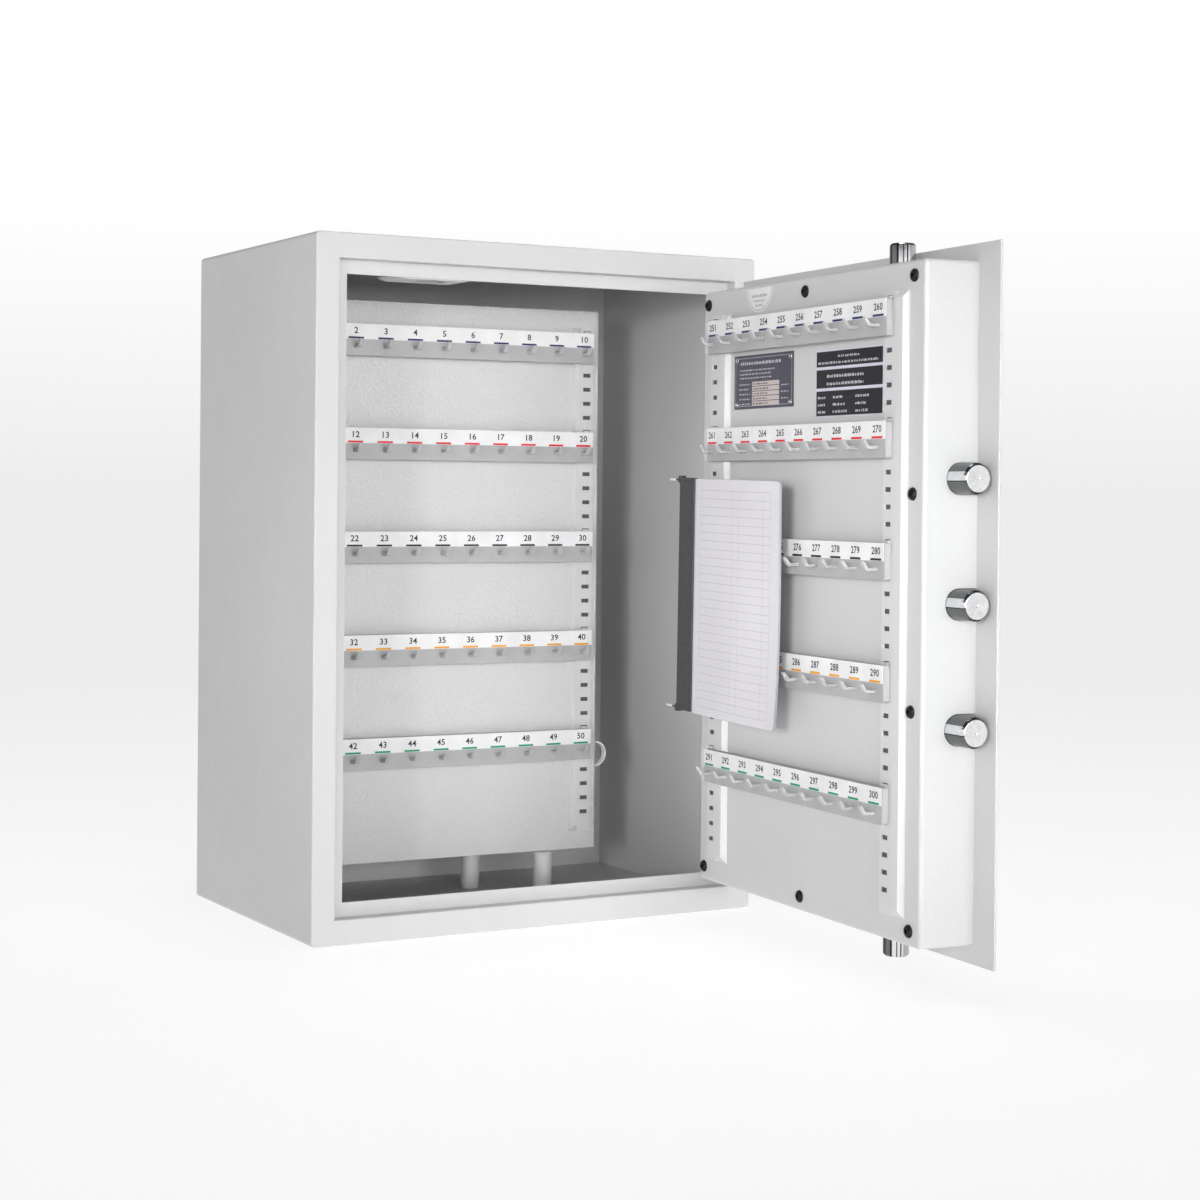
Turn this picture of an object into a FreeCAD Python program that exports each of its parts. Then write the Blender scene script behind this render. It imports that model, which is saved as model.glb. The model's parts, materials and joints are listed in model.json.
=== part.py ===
import FreeCAD, Part
import os
from math import atan, cos, pi, radians, sin, sqrt, tan

# Key cabinet for three hundred keys, in millimetres.
#
# Row frame: origin at the centre of the cabinet's underside, +X to the right as a person faces the
# front, +Y into the cabinet, +Z up. The door is modelled closed and then turned open on its hinge.
#
# Two working frames are used besides the row frame:
#   door frame   (u, n, z)  u from the leaf's hinge edge towards its free edge, n inwards from the
#                           leaf's inner face, z as in the row frame
#   face frame   (a, b, z)  for a face that carries hooks: a runs the way its numbers run, b stands
#                           out of the face, z as in the row frame

V = FreeCAD.Vector
Z_AXIS = V(0, 0, 1)

# ---------------------------------------------------------------- cabinet body
WIDTH = 550.0
DEPTH = 340.0
HEIGHT = 750.0
SHEET = 3.0
CORNER_R = 5.0
BORDER = 27.0                      # width of the frame's front face
REBATE = 16.0                      # depth of the step that the door closes into
STOP_EDGE = 42.0                   # from the outside to the inner edge of the stop flange
LEFT = -WIDTH / 2
FRONT = -DEPTH / 2
BACK = DEPTH / 2
ANCHOR_HOLE_R = 6.0
REAR_ANCHOR_X = 120.0              # rear holes at plus and minus this
REAR_ANCHOR_Z = (236.0, 591.0)
FLOOR_ANCHOR_X = 150.0
FLOOR_ANCHOR_Y = 30.0

# ---------------------------------------------------------------- door
LEAF_T = 3.0
LEAF_GAP = 2.35                    # gap between leaf and frame, all round
LEAF_SEAT = 0.5                    # gap between leaf and stop flange
LEAF_W = WIDTH - 2 * BORDER - 2 * LEAF_GAP
LEAF_Z = (BORDER + LEAF_GAP, HEIGHT - BORDER - LEAF_GAP)
LEAF_EDGE_X = WIDTH / 2 - BORDER - LEAF_GAP
LEAF_INNER_Y = FRONT + REBATE - LEAF_SEAT
HINGE_X = WIDTH / 2 - 9.0
HINGE_Y = FRONT - 6.5
DOOR_OPEN_DEG = 85.36
HINGE_LEVELS = (130.0, 620.0)
KNUCKLE_R = 6.0
KNUCKLE_H = 30.0
PIN_R = 3.5
RUN_GAP = 0.05                     # radial clearance of a running fit
STRAP_T = 4.0

COVER_U = (19.5, 457.5)            # deep cover over the boltwork
COVER_Z = (47.5, 703.5)
COVER_DEPTH = 60.7
COVER_T = 1.5
COVER_EDGE_R = 4.0
SCREW_U = (31.0, 238.0, 439.0)
SCREW_Z = (62.5, 272.0, 480.0, 688.5)
SCREW_HEAD_R = 6.5
SCREW_HEAD_H = 3.2
SCREW_R = 3.0
POST_R = 4.5

# ---------------------------------------------------------------- boltwork
MODULE = 1.5
TEETH = 21
PITCH_R = MODULE * TEETH / 2
PRESSURE_DEG = 20.0
BACKLASH = 0.35
TOOTH_PITCH = pi * MODULE
TURN_DEG = 90.0
TRAVEL = PITCH_R * radians(TURN_DEG)
PINION_U = 330.0
PINION_Z = 375.0
SIDE_BOLT_R = 15.0
SIDE_BOLT_N = 19.7
SIDE_BOLT_Z = (255.0, 375.0, 495.0)
SIDE_BOLT_U = (412.0, 487.0)
END_BOLT_R = 13.0
END_BOLT_U = 368.0
END_BOLT_N = 28.0
TOP_BOLT_TIP_Z = 727.0
BOTTOM_BOLT_TIP_Z = 24.0
END_BOLT_LEN = 50.0
BOLT_CHAMFER = 2.0
CARRIAGE_N = (14.0, 21.0)          # layer of the carriage and its rack
ROD_N = (24.5, 31.5)               # layer of the two vertical rods and their racks
ROD_W = 16.0
BACK_OF_RACK = 9.0                 # material behind the pitch line
SPINDLE_R = 6.0
STUD_U = 372.0
STUD_R = 5.0
STUD_Z = (282.0, 468.0)
LOCK_U = (205.0, 286.0)
LOCK_Z = (425.0, 485.0)
LOCK_N = (0.2, 33.0)
LOCK_BOLT_N = (23.0, 31.0)
LOCK_BOLT_Z = (454.0, 466.0)
KEY_U = 245.0
KEY_Z = 442.0

# ---------------------------------------------------------------- hook bars
ROWS = 5
HOOKS_PER_ROW = 10
ROW_PITCH = 118.0
FIRST_ROW_Z = 650.5                # middle height of the highest bar
SLOTS_PER_ROW = 7
SLOT_PITCH = ROW_PITCH / SLOTS_PER_ROW
SLOTS = 35
TOP_SLOT_Z = 669.6
SLOT_W = 10.0
SLOT_H = 4.8
RAIL_Z = (73.0, 676.0)
RAIL_T = 3.5
RAIL_FLAT = 17.0
RIB_H = 6.5
RIB_END = 7.0                      # length over which a rib runs out at each end
PANEL_RIB = (8.5, 9.0, 2.5)        # distance from the slots, width, run of the far slope
DOOR_RIB = (13.5, 17.0, 3.0)
HOOK_PITCH = 36.8
BAR_LEN = 357.0
DOOR_BARS_U = 55.0                 # where the door's bars begin
FIRST_HOOK = 12.0                  # from the bar's end to its first hook
BAR_H = 36.0
BAR_FACE_B = 14.0                  # how far the bar's front stands out of the face
BAR_T = 1.0
BAR_BACK_B = 7.0
CLIP_HALF = 4.4                    # half width of the clips that carry the bars
CLIP_T = 1.5
LABEL_T = 0.6
LABEL_H = 17.5
HOOK_W = 5.0
HOOK_DROP = 7.2                    # hooks stand this far below the bar's middle
# side view of a hook, as distances out of the bar's face and above the hook's middle line
HOOK_SIDE = (
    (0.0, -2.1), (10.6, -2.1), (13.0, -1.1), (17.4, 6.1), (16.6, 7.6),
    (14.6, 7.0), (11.0, 1.8), (9.8, 1.1), (2.0, 1.1), (0.0, 2.4),
)

# ---------------------------------------------------------------- swing panels
PANEL_T = 1.5
PANEL_Z = (52.0, 696.0)
PANEL_REACH = 407.0                # from the pivot to the free edge
PANEL_START = 8.0
PIVOT_X = LEFT + 38.0
PIVOT_R = 6.0
PIVOT_PIN_R = 4.0
PANEL_1_Y = FRONT + 186.0
PANEL_2_Y = FRONT + 256.0
PANEL_1_DEG = -1.3
PANEL_2_DEG = -1.8
PANEL_BARS_A = 36.0                # where the bars begin, from the pivot
LEG_R = 11.0
LEG_WALL = 1.5
LEG_1_REACH = 336.0
LEG_1_FORWARD = 2.0                # how far the post stands in front of the sheet's middle
LEG_2_REACH = 273.0
LEG_2_FORWARD = 6.0
LEG_TOP_GAP = 0.5                  # from a post's top to the sheet that swings over it
PULL_Z = 165.0
PULL_SPAN = 30.0
PULL_REACH = 14.0
PULL_STRIP = 8.0
PULL_T = 2.0


# ================================================================ helpers
def block(x0, x1, y0, y1, z0, z1):
    return Part.makeBox(x1 - x0, y1 - y0, z1 - z0, V(x0, y0, z0))


def rod(start, direction, radius, length):
    return Part.makeCylinder(radius, length, V(*start), V(*direction))


def fuse(shapes):
    first, *rest = shapes
    return first.fuse(rest).removeSplitter() if rest else first


def moved(shape, x=0.0, y=0.0, z=0.0):
    made = shape.copy()
    made.translate(V(x, y, z))
    return made


def turned(shape, x, y, degrees):
    """Turned about a vertical line."""
    made = shape.copy()
    made.rotate(V(x, y, 0), Z_AXIS, degrees)
    return made


def mirrored_height(shape):
    return shape.mirror(V(0, 0, HEIGHT / 2), Z_AXIS)


def edges_along(shape, axis, test=lambda p: True):
    """Straight edges parallel to an axis whose middle passes a test."""
    found = []
    for edge in shape.Edges:
        a = edge.Vertexes[0].Point
        b = edge.Vertexes[-1].Point
        if (b - a).Length > 1e-6 and abs(abs((b - a).normalize().dot(axis)) - 1) < 1e-6:
            if test((a + b) * 0.5):
                found.append(edge)
    return found


def rounded_block(x0, x1, y0, y1, z0, z1, radius, axis):
    solid = block(x0, x1, y0, y1, z0, z1)
    return solid.makeFillet(radius, edges_along(solid, axis))


def prism(points, lift):
    """A closed outline of points, swept by a vector."""
    wire = Part.makePolygon([V(*p) for p in points] + [V(*points[0])])
    return Part.Face(wire).extrude(V(*lift))


# ---- door frame
def door_block(u0, u1, n0, n1, z0, z1):
    return block(
        LEAF_EDGE_X - u1, LEAF_EDGE_X - u0, LEAF_INNER_Y + n0, LEAF_INNER_Y + n1, z0, z1
    )


def door_point(u, n, z):
    return (LEAF_EDGE_X - u, LEAF_INNER_Y + n, z)


def door_rod_n(u, z, n0, n1, radius):
    return rod(door_point(u, n0, z), (0, 1, 0), radius, n1 - n0)


def door_rod_u(u0, u1, n, z, radius):
    return rod(door_point(u0, n, z), (-1, 0, 0), radius, u1 - u0)


def opened(shape):
    return turned(shape, HINGE_X, HINGE_Y, DOOR_OPEN_DEG)


# ---- face frame: made with b along -Y, then turned and moved to its face
def face_block(a0, a1, b0, b1, z0, z1):
    return block(a0, a1, -b1, -b0, z0, z1)


# ================================================================ cabinet body
def rounded_tube(inset, y0, y1, wall):
    outer = rounded_block(
        LEFT + inset, -LEFT - inset, y0, y1, inset, HEIGHT - inset, CORNER_R - inset, V(0, 1, 0)
    )
    inner = rounded_block(
        LEFT + inset + wall, -LEFT - inset - wall, y0 - 1, y1 + 1,
        inset + wall, HEIGHT - inset - wall, CORNER_R - inset - wall, V(0, 1, 0),
    )
    return outer.cut(inner)


def shell_wrapper():
    """Left, right, top and bottom walls, folded from one sheet, with two floor anchor holes."""
    shell = rounded_tube(0.0, FRONT + SHEET, BACK, SHEET)
    for side in (-1, 1):
        hole = rod((side * FLOOR_ANCHOR_X, FLOOR_ANCHOR_Y, -1), (0, 0, 1), ANCHOR_HOLE_R, SHEET + 2)
        shell = shell.cut(hole)
    return shell


def rear_wall():
    wall = rounded_block(
        LEFT + SHEET, -LEFT - SHEET, BACK - SHEET, BACK, SHEET, HEIGHT - SHEET,
        CORNER_R - SHEET, V(0, 1, 0),
    )
    for side in (-1, 1):
        for z in REAR_ANCHOR_Z:
            hole = rod((side * REAR_ANCHOR_X, BACK - SHEET - 1, z), (0, 1, 0), ANCHOR_HOLE_R, SHEET + 2)
            wall = wall.cut(hole)
    return wall


def ring(outer, inner, y0, y1):
    """A flat rectangular ring, given by its insets from the cabinet's outside."""
    whole = block(LEFT + outer, -LEFT - outer, y0, y1, outer, HEIGHT - outer)
    gap = block(LEFT + inner, -LEFT - inner, y0 - 1, y1 + 1, inner, HEIGHT - inner)
    return whole.cut(gap)


def front_frame():
    """Front face, step and stop flange, folded from one sheet."""
    face = rounded_block(
        LEFT, -LEFT, FRONT, FRONT + SHEET, 0, HEIGHT, CORNER_R, V(0, 1, 0)
    )
    rim = [e for e in face.Edges if abs(e.BoundBox.YMax - FRONT) < 1e-6]
    face = face.makeFillet(1.8, rim)
    face = face.cut(block(LEFT + BORDER, -LEFT - BORDER, FRONT - 1, FRONT + SHEET + 1,
                          BORDER, HEIGHT - BORDER))
    step = ring(BORDER - SHEET, BORDER, FRONT, FRONT + REBATE + SHEET)
    stop = ring(BORDER - SHEET, STOP_EDGE, FRONT + REBATE, FRONT + REBATE + SHEET)
    frame = fuse([face, step, stop])
    lip = [
        e for e in frame.Edges
        if abs(e.BoundBox.YMax - FRONT) < 1e-6 and abs(e.BoundBox.YMin - FRONT) < 1e-6
        and (abs(abs(e.CenterOfMass.x) - (-LEFT - BORDER)) < 1e-3
             or abs(abs(e.CenterOfMass.z - HEIGHT / 2) - (HEIGHT / 2 - BORDER)) < 1e-3)
    ]
    return frame.makeFillet(1.2, lip)


def top_keeper(flange, drop):
    """Bent bracket under the top wall, with the slot that the top bolt enters.

    Its plate hangs level behind the stop flange, drop below the cabinet's top, and turns
    up at both ends; at the right the bend slopes outward over the length flange."""
    x = LEAF_EDGE_X - END_BOLT_U
    y = LEAF_INNER_Y + END_BOLT_N
    z = HEIGHT - drop
    top = HEIGHT - SHEET
    front = FRONT + REBATE + SHEET
    rear = y + END_BOLT_R + 8.0
    left, right = x - 43.0, x + 33.0
    outline = [
        (left - 10, top), (left - 10, z + 3), (left, z), (right, z), (right + flange, z + flange / 4),
        (right + flange, top), (right + flange - 3, top),
        (right + flange - 3, z + flange / 4 + 2.5), (right, z + 3),
        (left, z + 3), (left - 7, z + 5), (left - 7, top),
    ]
    strip = prism([(px, front, pz) for px, pz in outline], (0, rear - front, 0))
    slot = block(x - 17, x + 17, y - 14.5, y + 14.5, z - 1, z + 4)
    return strip.cut(slot)


def bolt_keepers():
    return Part.makeCompound([
        top_keeper(24.0, STOP_EDGE + 1.0), mirrored_height(top_keeper(8.0, 31.0))
    ])


def frame_knuckles():
    """Fixed halves of the two door hinges, welded to the frame's face."""
    made = []
    for level in HINGE_LEVELS:
        z0 = level - KNUCKLE_H - 0.3
        barrel = rod((HINGE_X, HINGE_Y, z0), (0, 0, 1), KNUCKLE_R, KNUCKLE_H)
        pad = block(HINGE_X - 5, HINGE_X + 5, HINGE_Y, FRONT, z0, z0 + KNUCKLE_H)
        bore = rod((HINGE_X, HINGE_Y, z0 + 4), (0, 0, 1), PIN_R, KNUCKLE_H)
        made.append(fuse([barrel, pad]).cut(bore))
    return Part.makeCompound(made)


def hinge_pins():
    return Part.makeCompound([
        rod((HINGE_X, HINGE_Y, level - KNUCKLE_H + 3.7), (0, 0, 1), PIN_R, 2 * KNUCKLE_H - 7.7)
        for level in HINGE_LEVELS
    ])


def panel_brackets():
    """Angle brackets on the left wall that carry the pivot pins of both swing panels."""
    made = []
    for y in (PANEL_1_Y, PANEL_2_Y):
        for z, up in ((PANEL_Z[0] - 6.0, -1), (PANEL_Z[1] + 6.0, 1)):
            z0, z1 = sorted((z, z + up * 3.0))
            shelf = block(LEFT + SHEET, PIVOT_X + 10, y - 12, y + 12, z0, z1)
            w0, w1 = sorted((z, z + up * 26.0))
            web = block(LEFT + SHEET, LEFT + SHEET + 3, y - 12, y + 12, w0, w1)
            hole = rod((PIVOT_X, y, z0 - 1), (0, 0, 1), PIVOT_PIN_R + RUN_GAP, 5)
            made.append(fuse([shelf, web]).cut(hole))
    return Part.makeCompound(made)


# ================================================================ hook faces
def rail(slot_a, rib_side, section):
    """Slotted rail with a raised rib on one side: rib_side is 1 for larger a, -1 for smaller.

    section gives the rib's distance from the slots, its width and the run of its far slope."""
    rib_at, rib_w, rib_slope = section
    z0, z1 = RAIL_Z
    near = slot_a + rib_side * rib_at
    far = near + rib_side * rib_w
    flat_a = sorted((near, slot_a - rib_side * RAIL_FLAT / 2))
    flat = face_block(*flat_a, 0, RAIL_T, z0, z1)
    rib = prism(
        [(near, 0, z0), (near, -RAIL_T, z0), (near + rib_side * 1.5, -RIB_H, z0),
         (far - rib_side * rib_slope, -RIB_H, z0), (far, -1.0, z0), (far, 0, z0)],
        (0, 0, z1 - z0),
    )
    a0 = min(near, far) - 1
    run_out = [
        prism([(a0, -RIB_H - 1, z), (a0, -1.0, z), (a0, -RIB_H, z + way * RIB_END),
               (a0, -RIB_H - 1, z + way * RIB_END)], (rib_w + 2, 0, 0))
        for z, way in ((z0, 1), (z1, -1))
    ]
    rib = rib.cut(Part.makeCompound(run_out))
    slots = [
        face_block(slot_a - SLOT_W / 2, slot_a + SLOT_W / 2, -1, RAIL_T + 1,
                   TOP_SLOT_Z - i * SLOT_PITCH - SLOT_H / 2, TOP_SLOT_Z - i * SLOT_PITCH + SLOT_H / 2)
        for i in range(SLOTS)
    ]
    return fuse([flat, rib]).cut(Part.makeCompound(slots))


def clip(bars_a, slot_a, free_side, z, half):
    """Bent clip that stands on a rail, plugs into two slots and holds one end of a bar.

    free_side is the side, 1 or -1 along a, on which its upright web stands; half is half
    the width of its foot."""
    nearest = round((TOP_SLOT_Z - z) / SLOT_PITCH)
    middle = TOP_SLOT_Z - nearest * SLOT_PITCH
    z0, z1 = middle - SLOT_PITCH - 1.4, middle + SLOT_PITCH + 1.4
    top = BAR_FACE_B - BAR_T
    foot = face_block(slot_a - half, slot_a + half, RAIL_T, RAIL_T + CLIP_T, z0, z1)
    w0, w1 = sorted((slot_a + free_side * half, slot_a + free_side * (half - CLIP_T)))
    inner = (z - BAR_H / 2 + BAR_T, z + BAR_H / 2 - BAR_T)
    web = face_block(w0, w1, RAIL_T, BAR_BACK_B - 0.3, z0, z1)
    web = web.fuse(face_block(w0, w1, RAIL_T, top, *inner))
    # the shelf reaches under the bar wherever the bar ends
    s0 = slot_a - half
    s1 = max(slot_a + half, bars_a + 8.0) if free_side < 0 else slot_a + half
    shelf = face_block(s0, s1, top - CLIP_T, top, *inner)
    tongues = [
        face_block(slot_a - 3.5, slot_a + 3.5, 0.3, RAIL_T + 1, t - 1.3, t + 1.3)
        for t in (middle - SLOT_PITCH, middle + SLOT_PITCH)
    ]
    return fuse([foot, web, shelf] + tongues)


def bar(bars_a, z):
    """Channel section that carries ten hooks, open at the back and at both ends."""
    a0, a1 = bars_a, bars_a + BAR_LEN
    z0, z1 = z - BAR_H / 2, z + BAR_H / 2
    return fuse([
        face_block(a0, a1, BAR_FACE_B - BAR_T, BAR_FACE_B, z0, z1),
        face_block(a0, a1, BAR_BACK_B, BAR_FACE_B, z0, z0 + BAR_T),
        face_block(a0, a1, BAR_BACK_B, BAR_FACE_B, z1 - BAR_T, z1),
    ])


def hook():
    """One flat hook: a tongue that leaves the bar level and turns up at its end."""
    return prism([(-HOOK_W / 2, -out, up) for out, up in HOOK_SIDE], (HOOK_W, 0, 0))


def row_heights():
    return [FIRST_ROW_Z - k * ROW_PITCH for k in range(ROWS)]


def hook_face(bars_a, slot_as, rib_sides, section, clip_half):
    """Rails, bars, hooks and label strips of one face, in the face frame."""
    one = hook()
    hooks = [
        moved(one, bars_a + FIRST_HOOK + i * HOOK_PITCH, -BAR_FACE_B, z - HOOK_DROP)
        for z in row_heights()
        for i in range(HOOKS_PER_ROW)
    ]
    rails = [rail(a, side, section) for a, side in zip(slot_as, rib_sides)]
    clips = [
        clip(bars_a, a, free_side, z, clip_half)
        for z in row_heights()
        for a, free_side in zip(slot_as, (-1, 1))
    ]
    return {
        "rails": rails + clips,
        "hook_bars": [bar(bars_a, z) for z in row_heights()],
        "hooks": hooks,
        "labels": [
            face_block(bars_a, bars_a + BAR_LEN, BAR_FACE_B, BAR_FACE_B + LABEL_T,
                       z + BAR_H / 2 - LABEL_H, z + BAR_H / 2)
            for z in row_heights()
        ],
    }


def placed(face, x, y, half_turn, then=lambda s: s):
    """A hook face moved to its plane: half_turn makes it look towards +Y."""
    made = {}
    for kind, solids in face.items():
        made[kind] = [
            then(moved(turned(s, 0, 0, 180) if half_turn else s, x, y)) for s in solids
        ]
    return made


# ================================================================ swing panels
def panel_sheet(y):
    """Sheet with a narrow fold along its free edge."""
    x0 = PIVOT_X + PANEL_START - 3.0
    x1 = PIVOT_X + PANEL_REACH
    sheet = block(x0, x1, y - PANEL_T / 2, y + PANEL_T / 2, *PANEL_Z)
    fold = block(x1 - PANEL_T, x1, y - PANEL_T / 2, y + 9.0, *PANEL_Z)
    solid = fuse([sheet, fold])
    corner = edges_along(
        solid, Z_AXIS, lambda p: abs(p.x - x1) < 1e-6 and abs(p.y - (y - PANEL_T / 2)) < 1e-6
    )
    return solid.makeFillet(1.4, corner)


def panel_pivot(y):
    """Vertical tube along the hinged edge, with a pin at each end."""
    tube = rod((PIVOT_X, y, PANEL_Z[0] - 4), (0, 0, 1), PIVOT_R, PANEL_Z[1] - PANEL_Z[0] + 8)
    pin = rod((PIVOT_X, y, PANEL_Z[0] - 11), (0, 0, 1), PIVOT_PIN_R, PANEL_Z[1] - PANEL_Z[0] + 22)
    seat = block(PIVOT_X, PIVOT_X + PIVOT_R + 1, y - PANEL_T / 2, y + PANEL_T / 2, *PANEL_Z)
    return fuse([tube, pin]).cut(seat)


def panel_leg(y, reach, forward):
    """Tubular post fixed to the cabinet's floor, which carries the panel when it is swung in."""
    x = PIVOT_X + reach
    y = y - forward
    z0 = SHEET
    top = PANEL_Z[0] - LEG_TOP_GAP
    tube = rod((x, y, z0 + 4), (0, 0, 1), LEG_R, top - z0 - 4)
    tube = tube.cut(rod((x, y, z0 + 3), (0, 0, 1), LEG_R - LEG_WALL, top - z0 - 5))
    glide = rod((x, y, z0), (0, 0, 1), LEG_R - 1.0, 4)
    plug = rod((x, y, z0 + 4), (0, 0, 1), LEG_R - LEG_WALL, 12)
    return Part.makeCompound([tube, fuse([glide, plug])])


def panel_pull(y):
    """Half-round bow of flat strip, standing out of the free edge."""
    x = PIVOT_X + PANEL_REACH
    half = PULL_SPAN / 2
    bow_y = y + 1.0

    def half_disc(r_z, r_x):
        ring_edge = Part.Ellipse(V(0, 0, 0), max(r_z, r_x), min(r_z, r_x)).toShape()
        disc = Part.Face(Part.Wire(ring_edge))
        disc.rotate(V(0, 0, 0), Z_AXIS, 90 if r_z > r_x else 0)
        disc.rotate(V(0, 0, 0), V(1, 0, 0), 90)
        solid = disc.extrude(V(0, PULL_STRIP, 0))
        solid.translate(V(x, bow_y - PULL_STRIP / 2, PULL_Z))
        return solid

    bow = half_disc(half, PULL_REACH).cut(half_disc(half - PULL_T, PULL_REACH - PULL_T))
    return bow.common(block(x, x + PULL_REACH + 1, y - 20, y + 20, PULL_Z - half, PULL_Z + half))


def swing_panel(name, y, rest_deg, leg_reach, leg_forward):
    def at_rest(shape):
        return turned(shape, PIVOT_X, y, rest_deg)

    end_a = PANEL_BARS_A + BAR_LEN
    slots = (PANEL_BARS_A + 3.5, end_a - 3.5)
    front = placed(hook_face(PANEL_BARS_A, slots, (1, -1), PANEL_RIB, CLIP_HALF),
                   PIVOT_X, y - PANEL_T / 2, False, at_rest)
    # on the back the numbers run the other way, so the same bars stand at the same reach
    back = placed(hook_face(-end_a, (-slots[1], -slots[0]), (1, -1), PANEL_RIB, CLIP_HALF),
                  PIVOT_X, y + PANEL_T / 2, True, at_rest)
    made = {
        f"{name}_sheet": at_rest(panel_sheet(y)),
        f"{name}_pivot": at_rest(panel_pivot(y)),
        f"{name}_leg": at_rest(panel_leg(y, leg_reach, leg_forward)),
        f"{name}_pull": at_rest(panel_pull(y)),
        f"{name}_rails": Part.makeCompound(front["rails"] + back["rails"]),
    }
    for side, face in (("front", front), ("back", back)):
        for kind in ("hook_bars", "hooks", "labels"):
            made[f"{name}_{side}_{kind}"] = Part.makeCompound(face[kind])
    return made


# ================================================================ door
def keyhole(n0, n1):
    """Cutter for a keyhole with a round head above a narrow slot."""
    return fuse([
        door_rod_n(KEY_U, KEY_Z, n0, n1, 4.0),
        door_block(KEY_U - 1.8, KEY_U + 1.8, n0, n1, KEY_Z - 12, KEY_Z),
    ])


def door_leaf():
    leaf = door_block(0, LEAF_W, -LEAF_T, 0, *LEAF_Z)
    leaf = leaf.makeFillet(1.0, leaf.Edges)
    leaf = leaf.cut(door_rod_n(PINION_U, PINION_Z, -LEAF_T - 1, 1, 9.0))
    return leaf.cut(keyhole(-LEAF_T - 1, 1))


def door_straps():
    """Moving halves of the hinges: a barrel and a strap that steps down to the leaf."""
    outer_y = LEAF_INNER_Y - LEAF_T
    made = []
    for level in HINGE_LEVELS:
        z0, z1 = level, level + KNUCKLE_H
        barrel = rod((HINGE_X, HINGE_Y, z0), (0, 0, 1), KNUCKLE_R, KNUCKLE_H)
        step_x = LEAF_EDGE_X - 12.0
        arm_y = HINGE_Y - 2.0
        arm = block(step_x, HINGE_X, arm_y, arm_y + STRAP_T, z0, z1)
        leg = block(step_x - STRAP_T, step_x, arm_y, outer_y, z0, z1)
        foot = block(step_x - 34.0, step_x, outer_y - STRAP_T, outer_y, z0, z1)
        strap = fuse([barrel, arm, leg, foot])
        bore = rod((HINGE_X, HINGE_Y, z0 - 1), (0, 0, 1), PIN_R + RUN_GAP, KNUCKLE_H - 2.5)
        made.append(strap.cut(bore))
    return Part.makeCompound(made)


def boltwork_cover():
    """Deep tray over the boltwork, open to the leaf, with a notch for every bolt."""
    tray = door_block(*COVER_U, 0, COVER_DEPTH, *COVER_Z)
    deep = edges_along(tray, V(0, 1, 0))
    front_y = LEAF_INNER_Y + COVER_DEPTH
    rim = [e for e in tray.Edges if abs(e.BoundBox.YMin - front_y) < 1e-4]
    tray = tray.makeFillet(COVER_EDGE_R, deep + rim)
    hollow = door_block(
        COVER_U[0] + COVER_T, COVER_U[1] - COVER_T, -1, COVER_DEPTH - COVER_T,
        COVER_Z[0] + COVER_T, COVER_Z[1] - COVER_T,
    )
    hollow = hollow.makeFillet(COVER_EDGE_R - COVER_T, edges_along(hollow, V(0, 1, 0)))
    cutters = [hollow]
    for z in SIDE_BOLT_Z:
        gap = SIDE_BOLT_R + 0.5
        cutters.append(door_rod_u(450, 470, SIDE_BOLT_N, z, gap))
        cutters.append(door_block(450, 470, -1, SIDE_BOLT_N, z - gap, z + gap))
    for z in COVER_Z:
        gap = END_BOLT_R + 0.5
        cutters.append(rod(door_point(END_BOLT_U, END_BOLT_N, z - 10), (0, 0, 1), gap, 20))
        cutters.append(door_block(END_BOLT_U - gap, END_BOLT_U + gap, -1, END_BOLT_N, z - 10, z + 10))
    for u, z in screw_places():
        cutters.append(door_rod_n(u, z, COVER_DEPTH - 5, COVER_DEPTH + 1, SCREW_R + 0.3))
    for cutter in cutters:
        tray = tray.cut(cutter)
    return tray


def screw_places():
    """Three along the top and the bottom, two more down each side."""
    ends = [(u, z) for z in (SCREW_Z[0], SCREW_Z[3]) for u in SCREW_U]
    sides = [(u, z) for z in SCREW_Z[1:3] for u in (SCREW_U[0], SCREW_U[2])]
    return ends + sides


def door_posts():
    """Threaded posts under the cover screws, and the two studs that guide the carriage."""
    top = COVER_DEPTH - COVER_T
    thread = 14.0
    made = []
    for u, z in screw_places():
        beside_bolt = u == SCREW_U[2] and z in SCREW_Z[1:3]
        if beside_bolt:
            # a bolt passes here, so the post stands on a leg just clear of it
            away = 1 if z < PINION_Z else -1
            leg_z = sorted((z + away * 4.5, z + away * 14.5))
            leg = door_block(u - 5, u + 5, 0, top - 8, *leg_z)
            arm_z = sorted((z, z + away * 14.5))
            arm = door_block(u - 4.5, u + 4.5, top - 18, top - 8, *arm_z)
            post = fuse([door_rod_n(u, z, top - 18, top, POST_R), leg, arm])
        else:
            post = door_rod_n(u, z, 0, top, POST_R)
        made.append(post.cut(door_rod_n(u, z, top - thread, top + 1, SCREW_R)))
    made += [door_rod_n(STUD_U, z, 0, ROD_N[0] - 0.5, STUD_R) for z in STUD_Z]
    return Part.makeCompound(made)


def cover_screws():
    """Button-head screws with a hexagon socket."""
    made = []
    for u, z in screw_places():
        base = COVER_DEPTH
        dome_r = (SCREW_HEAD_R ** 2 + SCREW_HEAD_H ** 2) / (2 * SCREW_HEAD_H)
        centre = V(*door_point(u, base + SCREW_HEAD_H - dome_r, z))
        head = Part.makeSphere(dome_r, centre).common(
            door_rod_n(u, z, base, base + SCREW_HEAD_H + 1, SCREW_HEAD_R)
        )
        corner = [
            door_point(u + 2.3 * cos(radians(60 * k)), base + 1.2, z + 2.3 * sin(radians(60 * k)))
            for k in range(6)
        ]
        socket = prism(corner, (0, SCREW_HEAD_H, 0))
        shank = door_rod_n(u, z, base - 12.0, base, SCREW_R)
        made.append(fuse([head, shank]).cut(socket))
    return Part.makeCompound(made)


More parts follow.
